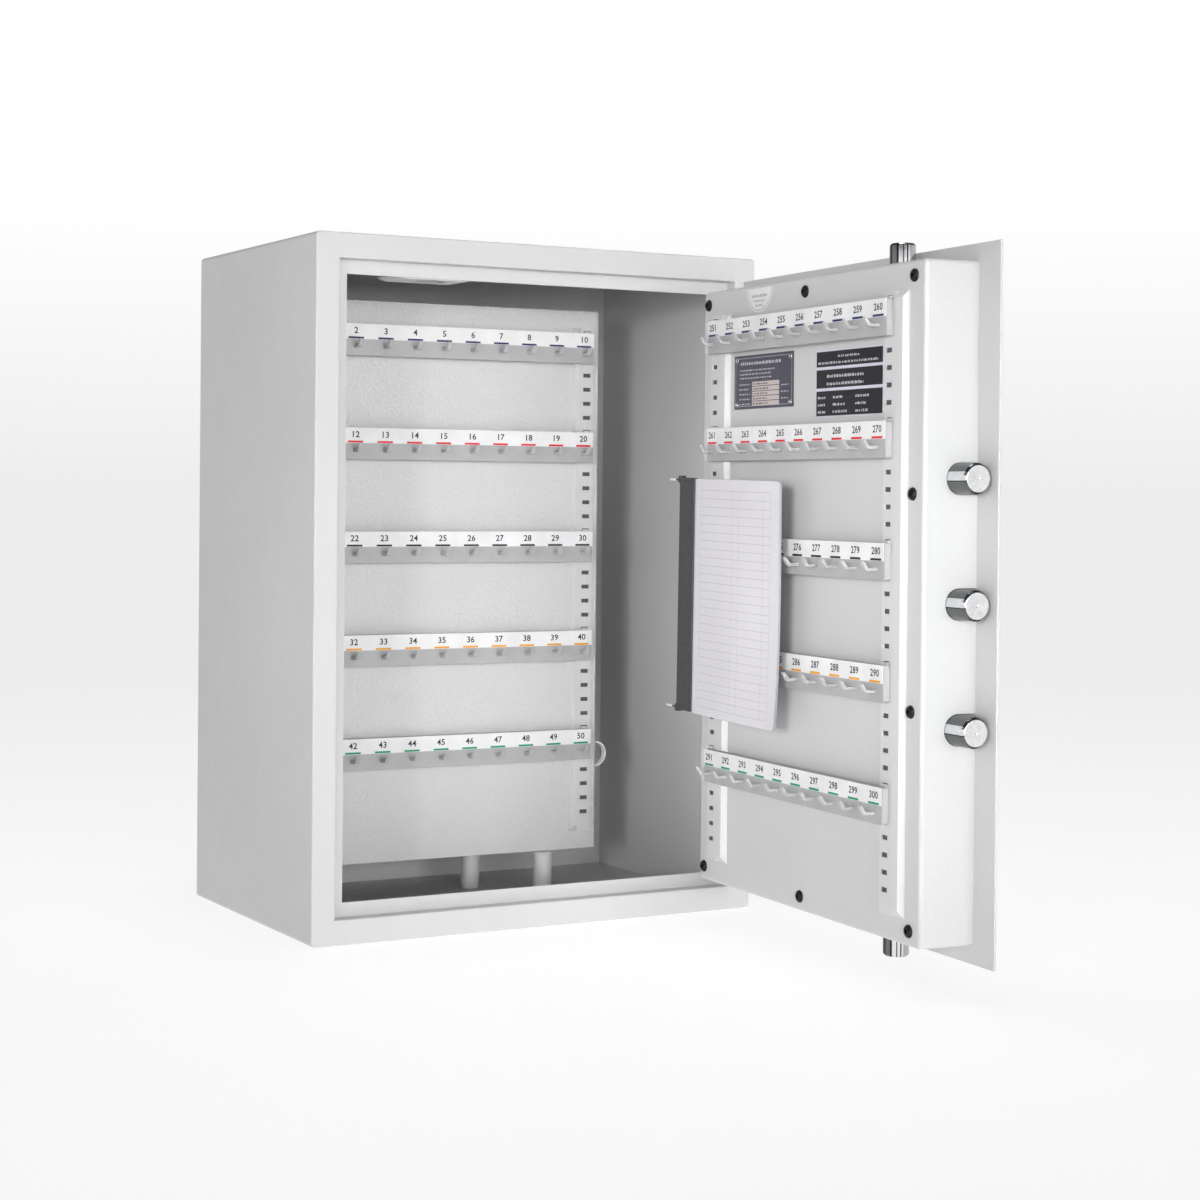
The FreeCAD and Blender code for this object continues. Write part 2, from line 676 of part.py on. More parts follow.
def rating_plate():
    """Thin plate held by four round-head rivets."""
    u0, u1, z0, z1 = 91.5, 216.5, 570.5, 628.5
    plate = door_block(u0, u1, COVER_DEPTH, COVER_DEPTH + 0.8, z0, z1)
    rivets = [
        rod(door_point(u, COVER_DEPTH + 0.8, z), (0, 1, 0), 2.6, 1.2)
        for u in (u0 + 6, u1 - 6) for z in (z0 + 5, z1 - 5)
    ]
    return Part.makeCompound([plate] + rivets)


def info_plate():
    """Three fields one above the other, on a thin backing."""
    u0, u1 = 263.0, 385.5
    levels = ((558.8, 583.8), (587.0, 605.4), (608.6, 624.0))
    fields = [
        door_block(u0, u1, COVER_DEPTH + 0.3, COVER_DEPTH + 0.8, z0, z1) for z0, z1 in levels
    ]
    backing = door_block(
        u0 - 1.5, u1 + 1.5, COVER_DEPTH, COVER_DEPTH + 0.3, levels[0][0] - 1.5, levels[-1][1] + 1.5
    )
    return Part.makeCompound([backing] + fields)


# register of sheets, hung from the bars by its binding spine
SPINE_U = (35.5, 69.5)
SHEETS_U = (66.0, 251.5)
REGISTER_Z = (239.5, 496.5)
REGISTER_N = (93.5, 98.5)
REGISTER_TILT_DEG = -1.0
SHEETS_T = 2.4
WIRE_R = 1.0


def tilted(shape):
    """The register hangs a little askew, turned in its own plane about its upper corner."""
    made = shape.copy()
    made.rotate(V(*door_point(SPINE_U[0], 0, REGISTER_Z[1])), V(0, 1, 0), REGISTER_TILT_DEG)
    return made


def register_spine():
    """Channel that grips the sheets, with corner caps and wires that hang it on two hooks."""
    n0, n1 = REGISTER_N
    z0, z1 = REGISTER_Z
    channel = door_block(*SPINE_U, n0, n1, z0, z1)
    channel = channel.makeFillet(1.5, edges_along(channel, Z_AXIS))
    mouth_n = (n0 + n1 - SHEETS_T) / 2
    mouth = door_block(
        SHEETS_U[0], SPINE_U[1] + 1, mouth_n, mouth_n + SHEETS_T, z0 - 1, z1 + 1
    )
    pieces = [channel.cut(mouth)]
    for z, way in ((z1, 1), (z0, -1)):
        cap_z = sorted((z + way * 2.0, z - way * 6.0))
        pieces.append(door_block(SPINE_U[0] - 1.5, SPINE_U[0] + 5, n0 - 0.5, n1 + 0.5, *cap_z))
        wire = door_point(SPINE_U[0] - 8.0, n1 - 0.5, z - way * 2.5)
        pieces.append(rod(wire, (-1, 0, 0), WIRE_R, 14.0))
    # each hanging wire leaves the spine above a hook's tip and drops behind it
    hook_u = DOOR_BARS_U + FIRST_HOOK
    for row in (2, 3):
        stem_z = FIRST_ROW_Z - row * ROW_PITCH - HOOK_DROP
        over = stem_z + HOOK_SIDE[4][1] + WIRE_R + 1.0
        seat_n = COVER_DEPTH + BAR_FACE_B + 6.5
        pieces.append(door_rod_n(hook_u - 1.5, over, seat_n, n0 + 1.0, WIRE_R))
        drop = over - stem_z - 2.2
        pieces.append(rod(door_point(hook_u - 1.5, seat_n, over - drop), (0, 0, 1), WIRE_R, drop + 0.5))
    return tilted(fuse(pieces))


def register_sheets():
    n0, n1 = REGISTER_N
    mouth_n = (n0 + n1 - SHEETS_T) / 2
    return tilted(door_block(
        *SHEETS_U, mouth_n, mouth_n + SHEETS_T, REGISTER_Z[0] - 1.5, REGISTER_Z[1] - 1.0
    ))


def lock_case():
    """Case of the key lock, with a channel for its bolt and a hole for the key."""
    case = door_block(*LOCK_U, *LOCK_N, *LOCK_Z)
    channel = door_block(
        LOCK_U[0] + 20, LOCK_U[1] + 1, LOCK_BOLT_N[0] - 0.3, LOCK_BOLT_N[1] + 0.3,
        LOCK_BOLT_Z[0] - 0.3, LOCK_BOLT_Z[1] + 0.3,
    )
    return case.cut(channel).cut(keyhole(LOCK_N[0] - 1, LOCK_N[0] + 18))


def lock_bolt():
    bolt = door_block(
        LOCK_U[0] + 36, LOCK_U[1] + 2, *LOCK_BOLT_N, *LOCK_BOLT_Z
    )
    return bolt


def key_escutcheon():
    """Round plate round the keyhole, with the stud that its cover hangs from."""
    n1 = -LEAF_T
    plate = door_rod_n(KEY_U, KEY_Z - 2, n1 - 3.0, n1, 24.0)
    plate = plate.makeFillet(1.2, [e for e in plate.Edges if e.BoundBox.YMax < LEAF_INNER_Y + n1 - 2])
    stud = door_rod_n(KEY_U, KEY_Z + 14, n1 - 7.0, n1 - 3.0, 2.5)
    return fuse([plate.cut(keyhole(n1 - 4, n1 + 1)), stud])


def keyhole_cover():
    """Drop-shaped flap that hangs over the keyhole."""
    n0, n1 = -LEAF_T - 6.0, -LEAF_T - 3.4
    disc = door_rod_n(KEY_U, KEY_Z - 4, n0, n1, 12.0)
    eye = door_rod_n(KEY_U, KEY_Z + 14, n0, n1, 6.0)
    neck = prism(
        [door_point(KEY_U - 6, n0, KEY_Z + 14), door_point(KEY_U + 6, n0, KEY_Z + 14),
         door_point(KEY_U + 11.5, n0, KEY_Z - 1), door_point(KEY_U - 11.5, n0, KEY_Z - 1)],
        (0, n1 - n0, 0),
    )
    bore = door_rod_n(KEY_U, KEY_Z + 14, n0 - 1, n1 + 1, 2.5 + RUN_GAP)
    return fuse([disc, eye, neck]).cut(bore)


def spindle_bush():
    flange = door_rod_n(PINION_U, PINION_Z, 0, 3.0, 12.0)
    sleeve = door_rod_n(PINION_U, PINION_Z, -LEAF_T, 3.0, 9.0)
    bore = door_rod_n(PINION_U, PINION_Z, -LEAF_T - 1, 4.0, SPINDLE_R + RUN_GAP)
    return fuse([flange, sleeve]).cut(bore)


def handle_rosette():
    n1 = -LEAF_T
    disc = door_rod_n(PINION_U, PINION_Z, n1 - 6.0, n1, 27.0)
    disc = disc.makeFillet(3.0, [e for e in disc.Edges if e.BoundBox.YMax < LEAF_INNER_Y + n1 - 5])
    return disc.cut(door_rod_n(PINION_U, PINION_Z, n1 - 7, n1 + 1, SPINDLE_R + 0.6))


# ---- boltwork
def pinion_outline():
    """Outline of the pinion in its own plane, with one tooth centred on the +x side."""
    pressure = radians(PRESSURE_DEG)
    base_r = PITCH_R * cos(pressure)
    tip_r = PITCH_R + MODULE
    root_r = PITCH_R - 1.25 * MODULE
    half_tooth = pi / (2 * TEETH) - BACKLASH / (4 * PITCH_R)
    flank = []
    for k in range(5):
        r = base_r + (tip_r - base_r) * k / 4
        roll = sqrt(max((r / base_r) ** 2 - 1, 0))
        flank.append((r, half_tooth + tan(pressure) - pressure - roll + atan(roll)))
    side = [(root_r, flank[0][1])] + flank
    points = []
    for tooth in range(TEETH):
        middle = 2 * pi * tooth / TEETH
        points += [(r, middle - a) for r, a in side]
        points += [(r, middle + a) for r, a in reversed(side)]
    return [(r * cos(a), r * sin(a)) for r, a in points]


def drive_spindle():
    """Pinion and spindle turned as one piece."""
    n0, n1 = CARRIAGE_N[0] - 0.5, ROD_N[1] + 0.5
    outline = [door_point(PINION_U - x, n0, PINION_Z + y) for x, y in pinion_outline()]
    gear = prism(outline, (0, n1 - n0, 0))
    shaft = door_rod_n(PINION_U, PINION_Z, -LEAF_T - 12.0, ROD_N[1] + 8.0, SPINDLE_R)
    return fuse([gear, shaft])


def handle_lever():
    """Lever handle: a hub on the rosette and a tapered arm towards the hinge side."""
    n_far, n_near = -LEAF_T - 34.0, -LEAF_T - 6.6
    hub = door_rod_n(PINION_U, PINION_Z, n_far + 8, n_near, 17.0)
    arm = prism(
        [door_point(PINION_U + 17, n_far, PINION_Z + 11), door_point(PINION_U + 17, n_far, PINION_Z - 11),
         door_point(PINION_U - 110, n_far, PINION_Z - 9), door_point(PINION_U - 110, n_far, PINION_Z + 9)],
        (0, 14.0, 0),
    )
    arm = arm.makeFillet(4.0, arm.Edges)
    lever = fuse([hub, arm])
    return lever.cut(door_rod_n(PINION_U, PINION_Z, -LEAF_T - 12.0, 0, SPINDLE_R))


def rack_teeth(first, last, phase):
    """Outline of rack teeth in (along, out) from the pitch line, teeth pointing to +out."""
    slope = tan(radians(PRESSURE_DEG))
    half = TOOTH_PITCH / 4 - BACKLASH / 4
    top, root = MODULE * 0.95, -1.25 * MODULE
    points = []
    k = int((first - phase) / TOOTH_PITCH) + 1
    while phase + k * TOOTH_PITCH < last - TOOTH_PITCH / 2:
        mid = phase + k * TOOTH_PITCH
        points += [
            (mid - half - slope * -root, root), (mid - half + slope * top, top),
            (mid + half - slope * top, top), (mid + half + slope * -root, root),
        ]
        k += 1
    return [(first, root)] + points + [(last, root)]


def gap_phase(direction_deg):
    """How far along the pitch line, counter-clockwise, the nearest pinion gap lies."""
    step = 360.0 / TEETH
    nearest = round(direction_deg / step - 0.5) + 0.5
    return PITCH_R * radians(nearest * step - direction_deg)


def carriage_rack():
    """Rack above the pinion, teeth down, running along u."""
    # seen with x = -u the direction is +90 degrees, and counter-clockwise there is towards -x, or +u
    along = rack_teeth(-10.0, TRAVEL + 12.0, gap_phase(90.0))
    z_pitch = PINION_Z + PITCH_R
    outline = [door_point(PINION_U + a, CARRIAGE_N[0], z_pitch - out) for a, out in along]
    top = z_pitch + BACK_OF_RACK
    outline += [door_point(PINION_U + along[-1][0], CARRIAGE_N[0], top),
                door_point(PINION_U + along[0][0], CARRIAGE_N[0], top)]
    return prism(outline, (0, CARRIAGE_N[1] - CARRIAGE_N[0], 0))


def bolt_carriage():
    """Upright bar that carries the side bolts, with its rack arm and two slotted guide arms."""
    u0 = SIDE_BOLT_U[0] - 8.0
    upright = door_block(u0, SIDE_BOLT_U[0], 5.0, 34.0, SIDE_BOLT_Z[0] - 25, SIDE_BOLT_Z[2] + 25)
    z_pitch = PINION_Z + PITCH_R
    arm = door_block(PINION_U + TRAVEL + 10.0, u0, *CARRIAGE_N, z_pitch + 2.0, z_pitch + BACK_OF_RACK)
    pieces = [upright, carriage_rack(), arm]
    for z in STUD_Z:
        wing = door_block(STUD_U - 14, u0, *CARRIAGE_N, z - 12, z + 12)
        slot = fuse([
            door_rod_n(STUD_U, z, 0, 40, STUD_R + 0.4),
            door_rod_n(STUD_U + TRAVEL, z, 0, 40, STUD_R + 0.4),
            door_block(STUD_U, STUD_U + TRAVEL, 0, 40, z - STUD_R - 0.4, z + STUD_R + 0.4),
        ])
        pieces.append(wing.cut(slot))
    carriage = fuse(pieces)
    for z in SIDE_BOLT_Z:
        carriage = carriage.cut(door_rod_u(u0 - 1, SIDE_BOLT_U[0] + 1, SIDE_BOLT_N, z, 6.0))
    return carriage


def side_bolts():
    """Three round bolts, chamfered at the tip, each with a spigot in the carriage."""
    made = []
    for z in SIDE_BOLT_Z:
        bolt = door_rod_u(*SIDE_BOLT_U, SIDE_BOLT_N, z, SIDE_BOLT_R)
        tip_x = LEAF_EDGE_X - SIDE_BOLT_U[1]
        tip = [e for e in bolt.Edges if abs(e.BoundBox.XMax - tip_x) < 1e-4]
        bolt = bolt.makeChamfer(BOLT_CHAMFER, tip)
        spigot = door_rod_u(SIDE_BOLT_U[0] - 8.0, SIDE_BOLT_U[0], SIDE_BOLT_N, z, 6.0)
        made.append(fuse([bolt, spigot]))
    return Part.makeCompound(made)


def end_bolt(tip_z, way):
    """Round bolt that leaves the door's top (way 1) or bottom (way -1)."""
    base_z = tip_z - way * END_BOLT_LEN
    bolt = rod(door_point(END_BOLT_U, END_BOLT_N, base_z), (0, 0, way), END_BOLT_R, END_BOLT_LEN)
    tip = [e for e in bolt.Edges
           if abs(e.BoundBox.ZMax - tip_z) < 1e-4 and abs(e.BoundBox.ZMin - tip_z) < 1e-4]
    return bolt.makeChamfer(BOLT_CHAMFER, tip)


def end_rod(way, tip_z):
    """Flat rod from a rack beside the pinion to a round bolt: way 1 goes up, way -1 goes down.

    The up-going rack stands on the hinge side of the pinion and the down-going one on the free
    side, so that one turn draws both in."""
    pitch_u = PINION_U - way * PITCH_R
    back_u = pitch_u - way * BACK_OF_RACK
    # with x = -u the up-going rack lies at 0 degrees, where counter-clockwise is up, and the
    # down-going one at 180 degrees, where it is down
    along = rack_teeth(-10.0, TRAVEL + 12.0, gap_phase(0.0 if way == 1 else 180.0))
    outline = [door_point(pitch_u + way * out, ROD_N[0], PINION_Z + way * a) for a, out in along]
    outline += [door_point(back_u, ROD_N[0], PINION_Z + way * along[-1][0]),
                door_point(back_u, ROD_N[0], PINION_Z + way * along[0][0])]
    rack = prism(outline, (0, ROD_N[1] - ROD_N[0], 0))
    root_u = pitch_u - way * 2.2
    b0, b1 = sorted((back_u, root_u))
    jog = PINION_Z + way * 78.0
    jog_far = jog + way * ROD_W
    s0, s1 = sorted((PINION_Z + way * along[-1][0], jog_far))
    stem = door_block(b0, b1, *ROD_N, s0, s1)
    c0, c1 = sorted((jog, jog_far))
    j0 = min(b0, END_BOLT_U - ROD_W / 2)
    cross = door_block(j0, END_BOLT_U + ROD_W / 2, *ROD_N, c0, c1)
    base_z = tip_z - way * END_BOLT_LEN
    l0, l1 = sorted((jog, base_z))
    long = door_block(END_BOLT_U - ROD_W / 2, END_BOLT_U + ROD_W / 2, *ROD_N, l0, l1)
    pieces = [rack, stem, cross, long]
    if way == 1:
        # the key lock's bolt goes under this lug
        pieces.append(door_block(LOCK_U[1] + 4, b0 + 1, *ROD_N, LOCK_BOLT_Z[1] + 3, LOCK_BOLT_Z[1] + 12))
        pieces.append(door_block(b0, b1, *ROD_N, jog, LOCK_BOLT_Z[1] + 12))
    return fuse(pieces)


# ================================================================ assembly
def door_parts():
    face = hook_face(DOOR_BARS_U, (52.0, 401.0), (1, 1), DOOR_RIB, CLIP_HALF + 2.0)
    placed_face = placed(face, LEAF_EDGE_X, LEAF_INNER_Y + COVER_DEPTH, True)
    closed = {
        "door_leaf": door_leaf(),
        "door_hinge_straps": door_straps(),
        "boltwork_cover": boltwork_cover(),
        "door_posts": door_posts(),
        "cover_screws": cover_screws(),
        "rating_plate": rating_plate(),
        "info_plate": info_plate(),
        "register_spine": register_spine(),
        "register_sheets": register_sheets(),
        "lock_case": lock_case(),
        "lock_bolt": lock_bolt(),
        "key_escutcheon": key_escutcheon(),
        "keyhole_cover": keyhole_cover(),
        "spindle_bush": spindle_bush(),
        "handle_rosette": handle_rosette(),
        "handle_lever": handle_lever(),
        "drive_spindle": drive_spindle(),
        "bolt_carriage": bolt_carriage(),
        "side_bolts": side_bolts(),
        "top_bolt": end_bolt(TOP_BOLT_TIP_Z, 1),
        "top_rod": end_rod(1, TOP_BOLT_TIP_Z),
        "bottom_bolt": end_bolt(BOTTOM_BOLT_TIP_Z, -1),
        "bottom_rod": end_rod(-1, BOTTOM_BOLT_TIP_Z),
    }
    for kind, solids in placed_face.items():
        closed[f"door_{kind}"] = Part.makeCompound(solids)
    return {name: opened(shape) for name, shape in closed.items()}


def wall_parts():
    start = 74.0
    face = hook_face(start, (start + 3.5, start + BAR_LEN - 3.5), (1, -1), PANEL_RIB, CLIP_HALF)
    centred = placed(face, LEFT + (WIDTH - BAR_LEN) / 2 - start, BACK - SHEET, False)
    return {f"wall_{kind}": Part.makeCompound(solids) for kind, solids in centred.items()}


def all_parts():
    parts = {
        "shell_wrapper": shell_wrapper(),
        "rear_wall": rear_wall(),
        "front_frame": front_frame(),
        "bolt_keepers": bolt_keepers(),
        "frame_knuckles": frame_knuckles(),
        "hinge_pins": hinge_pins(),
        "panel_brackets": panel_brackets(),
    }
    parts.update(wall_parts())
    parts.update(swing_panel("panel_1", PANEL_1_Y, PANEL_1_DEG, LEG_1_REACH, LEG_1_FORWARD))
    parts.update(swing_panel("panel_2", PANEL_2_Y, PANEL_2_DEG, LEG_2_REACH, LEG_2_FORWARD))
    parts.update(door_parts())
    return parts


def main():
    os.makedirs("parts", exist_ok=True)
    for name, shape in all_parts().items():
        shape.exportStep(f"parts/{name}.step")


main()
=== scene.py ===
"""Looks of the key cabinet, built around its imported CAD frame."""
import json
import random
from math import cos, hypot, pi, radians, sin

import bmesh
import bpy
from mathutils import Matrix, Vector


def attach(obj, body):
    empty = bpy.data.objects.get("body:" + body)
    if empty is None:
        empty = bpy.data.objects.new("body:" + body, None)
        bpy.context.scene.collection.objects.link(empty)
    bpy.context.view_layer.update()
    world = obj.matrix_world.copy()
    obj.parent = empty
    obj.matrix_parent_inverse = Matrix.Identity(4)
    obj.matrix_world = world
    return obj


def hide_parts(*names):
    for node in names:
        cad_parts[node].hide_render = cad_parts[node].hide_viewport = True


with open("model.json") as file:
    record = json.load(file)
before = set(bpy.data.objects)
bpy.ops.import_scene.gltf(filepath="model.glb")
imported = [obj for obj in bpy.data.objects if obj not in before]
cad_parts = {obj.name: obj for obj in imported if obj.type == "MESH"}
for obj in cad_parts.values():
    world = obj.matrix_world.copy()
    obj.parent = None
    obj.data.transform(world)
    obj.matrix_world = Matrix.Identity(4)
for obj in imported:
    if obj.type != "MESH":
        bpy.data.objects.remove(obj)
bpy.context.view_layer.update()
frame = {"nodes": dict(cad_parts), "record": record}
NODES = frame["nodes"]
BODY_OF = {
    node: body
    for body, members in frame["record"]["behaviour"]["bodies"].items()
    for node in members
}
MM = 0.001
SCENE = bpy.context.scene

# the cabinet's own dimensions, in millimetres
LEAF_EDGE_X = 245.65
LEAF_INNER_Y = -154.5
HINGE = (266.0, -176.5)
DOOR_OPEN = radians(85.36)
COVER_DEPTH = 60.7
PIVOT_X = -237.0
PANEL_1_Y = 16.0
PANEL_2_Y = 86.0
ROW_Z = [650.5 - 118.0 * k for k in range(5)]
BAR_FACE_B = 14.0
LABEL_B = BAR_FACE_B + 0.6
SLOT_Z = [669.6 - 118.0 / 7 * k for k in range(35)]


# ---------------------------------------------------------------- camera
def add_camera():
    yaw, pitch, roll = 0.49182, -0.00754, 0.00854
    forward = Vector((sin(yaw) * cos(pitch), cos(yaw) * cos(pitch), sin(pitch)))
    right = Vector((cos(yaw), -sin(yaw), 0))
    up = right.cross(forward)
    side = cos(roll) * right + sin(roll) * up
    top = -sin(roll) * right + cos(roll) * up
    data = bpy.data.cameras.new("camera")
    data.sensor_width = 36.0
    data.lens = 68.235
    data.shift_x = 0.0762
    data.shift_y = -0.0750
    data.clip_start = 0.05
    data.clip_end = 200
    camera = bpy.data.objects.new("camera", data)
    turn = Matrix((side, top, -forward)).transposed().to_4x4()
    camera.matrix_world = Matrix.Translation((-1.2168, -2.3566, 0.4778)) @ turn
    SCENE.collection.objects.link(camera)
    SCENE.camera = camera


# ---------------------------------------------------------------- materials
class NodeFinish:
    """Builds one node material step by step."""

    def __init__(self, name):
        self.material = bpy.data.materials.new(name)
        self.material.use_nodes = True
        self.nodes = self.material.node_tree.nodes
        self.links = self.material.node_tree.links
        self.shader = self.nodes["Principled BSDF"]
        self.coords = self.nodes.new("ShaderNodeTexCoord").outputs["Object"]

    def set(self, **values):
        for name, value in values.items():
            self.shader.inputs[name.replace("_", " ")].default_value = value
        return self

    def stretched(self, scale):
        mapping = self.nodes.new("ShaderNodeMapping")
        mapping.inputs["Scale"].default_value = scale
        self.links.new(self.coords, mapping.inputs["Vector"])
        return mapping.outputs["Vector"]

    def noise(self, scale, detail=2.0, roughness=0.5, coords=None):
        node = self.nodes.new("ShaderNodeTexNoise")
        node.inputs["Scale"].default_value = scale
        node.inputs["Detail"].default_value = detail
        node.inputs["Roughness"].default_value = roughness
        self.links.new(coords or self.coords, node.inputs["Vector"])
        return node.outputs["Fac"]

    def cells(self, scale, output="Distance"):
        node = self.nodes.new("ShaderNodeTexVoronoi")
        node.inputs["Scale"].default_value = scale
        self.links.new(self.coords, node.inputs["Vector"])
        return node.outputs[output]

    def ramp(self, fac, stops):
        node = self.nodes.new("ShaderNodeValToRGB")
        elements = node.color_ramp.elements
        while len(elements) < len(stops):
            elements.new(0.5)
        for element, (place, colour) in zip(elements, stops):
            element.position = place
            element.color = (*colour, 1)
        self.links.new(fac, node.inputs["Fac"])
        return node.outputs["Color"]

    def span(self, fac, low, high):
        node = self.nodes.new("ShaderNodeMapRange")
        node.inputs["From Min"].default_value = 0.3
        node.inputs["From Max"].default_value = 0.7
        node.inputs["To Min"].default_value = low
        node.inputs["To Max"].default_value = high
        self.links.new(fac, node.inputs["Value"])
        return node.outputs["Result"]

    def mix(self, fac, a, b, blend="MIX"):
        node = self.nodes.new("ShaderNodeMix")
        node.data_type = "RGBA"
        node.blend_type = blend
        if hasattr(fac, "links"):
            self.links.new(fac, node.inputs["Factor"])
        else:
            node.inputs["Factor"].default_value = fac
        for value, place in ((a, 6), (b, 7)):
            if hasattr(value, "links"):
                self.links.new(value, node.inputs[place])
            else:
                node.inputs[place].default_value = (*value, 1)
        return node.outputs[2]

    def colour(self, output):
        self.links.new(output, self.shader.inputs["Base Color"])
        return self

    def rough(self, output):
        self.links.new(output, self.shader.inputs["Roughness"])
        return self

    def bump(self, *layers):
        """Each layer is (height, strength, distance in metres)."""
        before = None
        for height, strength, distance in layers:
            node = self.nodes.new("ShaderNodeBump")
            node.inputs["Strength"].default_value = strength
            node.inputs["Distance"].default_value = distance
            self.links.new(height, node.inputs["Height"])
            if before:
                self.links.new(before, node.inputs["Normal"])
            before = node.outputs["Normal"]
        self.links.new(before, self.shader.inputs["Normal"])
        return self


def shade(colour, factor):
    return tuple(min(1.0, c * factor) for c in colour)


def powder_coat(name, base, rough, peel, grain, peel_scale=420.0, relief=0.0006):
    """Sprayed and baked paint: orange peel, faint cloudiness, tiny specks.

    peel_scale is in lumps per metre, and relief is their height in metres."""
    m = NodeFinish(name)
    cloud = m.noise(4.0, 3.0)
    fine = m.noise(900.0, 2.0)
    tone = m.ramp(cloud, ((0.3, shade(base, 0.965)), (0.7, shade(base, 1.03))))
    speck = m.ramp(fine, ((0.35, (0.90, 0.90, 0.90)), (0.62, (1, 1, 1))))
    m.colour(m.mix(0.6, tone, speck, "MULTIPLY"))
    m.rough(m.span(m.noise(60.0, 2.0), rough - 0.05, rough + 0.06))
    m.bump((m.noise(peel_scale, 2.0, 0.55), peel, relief), (m.cells(1300.0), grain, 0.0003))
    return m.material


def moulded(name, base, rough, grain=0.12):
    """Injection-moulded plastic with a faint satin grain."""
    m = NodeFinish(name)
    m.colour(m.ramp(m.noise(30.0, 3.0), ((0.3, shade(base, 0.93)), (0.7, shade(base, 1.05)))))
    m.rough(m.span(m.noise(220.0, 2.0), rough - 0.05, rough + 0.07))
    m.bump((m.noise(1600.0, 2.0), grain, 0.0002))
    return m.material


def metal(name, base, rough, streak=None, spangle=0.0, bump=0.1):
    """Bare or plated metal: streak stretches its fine marks along one axis."""
    m = NodeFinish(name)
    m.set(Metallic=1.0)
    coords = m.stretched(streak) if streak else None
    marks = m.noise(1.0 if streak else 260.0, 3.0, 0.6, coords)
    tone = m.ramp(marks, ((0.3, shade(base, 0.9)), (0.7, shade(base, 1.04))))
    if spangle:
        flakes = m.ramp(m.cells(70.0, "Color"), ((0.1, shade(base, 0.75)), (0.9, base)))
        tone = m.mix(spangle, tone, flakes)
    m.colour(tone)
    m.rough(m.span(marks, max(0.03, rough - 0.04), rough + 0.05))
    m.bump((marks, bump, 0.00008))
    return m.material


def make_materials():
    grey = (0.60, 0.605, 0.60)
    light = (0.66, 0.66, 0.665)
    found = {
        "body_paint": powder_coat("body_paint", grey, 0.42, 0.22, 0.05),
        "inner_paint": powder_coat("inner_paint", (0.635, 0.635, 0.63), 0.34, 0.85, 0.20,
                                   peel_scale=260.0, relief=0.0013),
        "rail_white": powder_coat("rail_white", light, 0.40, 0.12, 0.03),
        "bar_grey": moulded("bar_grey", (0.42, 0.42, 0.425), 0.44),
        "hook_grey": moulded("hook_grey", (0.47, 0.475, 0.48), 0.40, 0.08),
        "label_white": moulded("label_white", (0.80, 0.80, 0.805), 0.46, 0.04),
        "steel": metal("steel", (0.50, 0.51, 0.53), 0.34, (40, 40, 900)),
        "zinc_steel": metal("zinc_steel", (0.62, 0.64, 0.66), 0.32, None, 0.6),
        "chrome": metal("chrome", (0.80, 0.81, 0.83), 0.075, None, 0.0, 0.03),
        "chrome_face": metal("chrome_face", (0.86, 0.86, 0.87), 0.16, None, 0.0, 0.06),
        # the next three chrome tones are painted reflections: mid grey, near-black and soft
        # streaks, placed on the bolts by angle
        "chrome_painted_mid_reflection": metal("chrome_painted_mid_reflection", (0.17, 0.175, 0.18), 0.11, None, 0.0, 0.03),
        "chrome_painted_dark_reflection": metal("chrome_painted_dark_reflection", (0.025, 0.026, 0.028), 0.10, None, 0.0, 0.03),
        "chrome_painted_soft_reflection": metal("chrome_painted_soft_reflection", (0.46, 0.46, 0.47), 0.14, None, 0.0, 0.03),
        "binder_black": moulded("binder_black", (0.040, 0.042, 0.042), 0.50, 0.35),
        # dark grey painted shade for the inside of the rail slots
        "painted_slot_shade": moulded("painted_slot_shade", (0.085, 0.082, 0.08), 0.7),
        "plate_backing": moulded("plate_backing", (0.66, 0.66, 0.74), 0.40, 0.05),
        "ink_black": moulded("ink_black", (0.012, 0.012, 0.013), 0.5),
        "ink_navy": moulded("ink_navy", (0.009, 0.012, 0.10), 0.50),
        "ink_red": moulded("ink_red", (0.72, 0.015, 0.022), 0.45),
        "ink_orange": moulded("ink_orange", (0.86, 0.36, 0.012), 0.45),
        "ink_green": moulded("ink_green", (0.0, 0.30, 0.13), 0.45),
        "print_pale": moulded("print_pale", (0.62, 0.62, 0.68), 0.40),
        "print_pink": moulded("print_pink", (0.56, 0.49, 0.47), 0.42),
        "rule_grey": moulded("rule_grey", (0.34, 0.33, 0.37), 0.6),
    }
    found["plate_dark_blue"] = plate_finish("plate_dark_blue", (0.075, 0.070, 0.098))
    found["plate_black"] = plate_finish("plate_black", (0.014, 0.014, 0.018))
    found["black_screw"] = screw_finish()
    found["paper"] = paper_finish()
    return found


def plate_finish(name, base):
    """Anodised sheet with a brushed grain."""
    m = NodeFinish(name)
    grain = m.noise(1.0, 3.0, 0.6, m.stretched((900, 60, 900)))
    m.set(Metallic=0.35)
    m.colour(m.ramp(grain, ((0.3, shade(base, 0.85)), (0.7, shade(base, 1.25)))))
    m.rough(m.span(grain, 0.28, 0.40))
    m.bump((grain, 0.08, 0.0001))
    return m.material


def screw_finish():
    m = NodeFinish("black_screw")
    m.set(Metallic=0.75)
    wear = m.noise(500.0, 4.0, 0.65)
    m.colour(m.ramp(wear, ((0.4, (0.012, 0.012, 0.013)), (0.8, (0.05, 0.05, 0.052)))))
    m.rough(m.span(wear, 0.30, 0.46))
    m.bump((wear, 0.12, 0.0001))
    return m.material


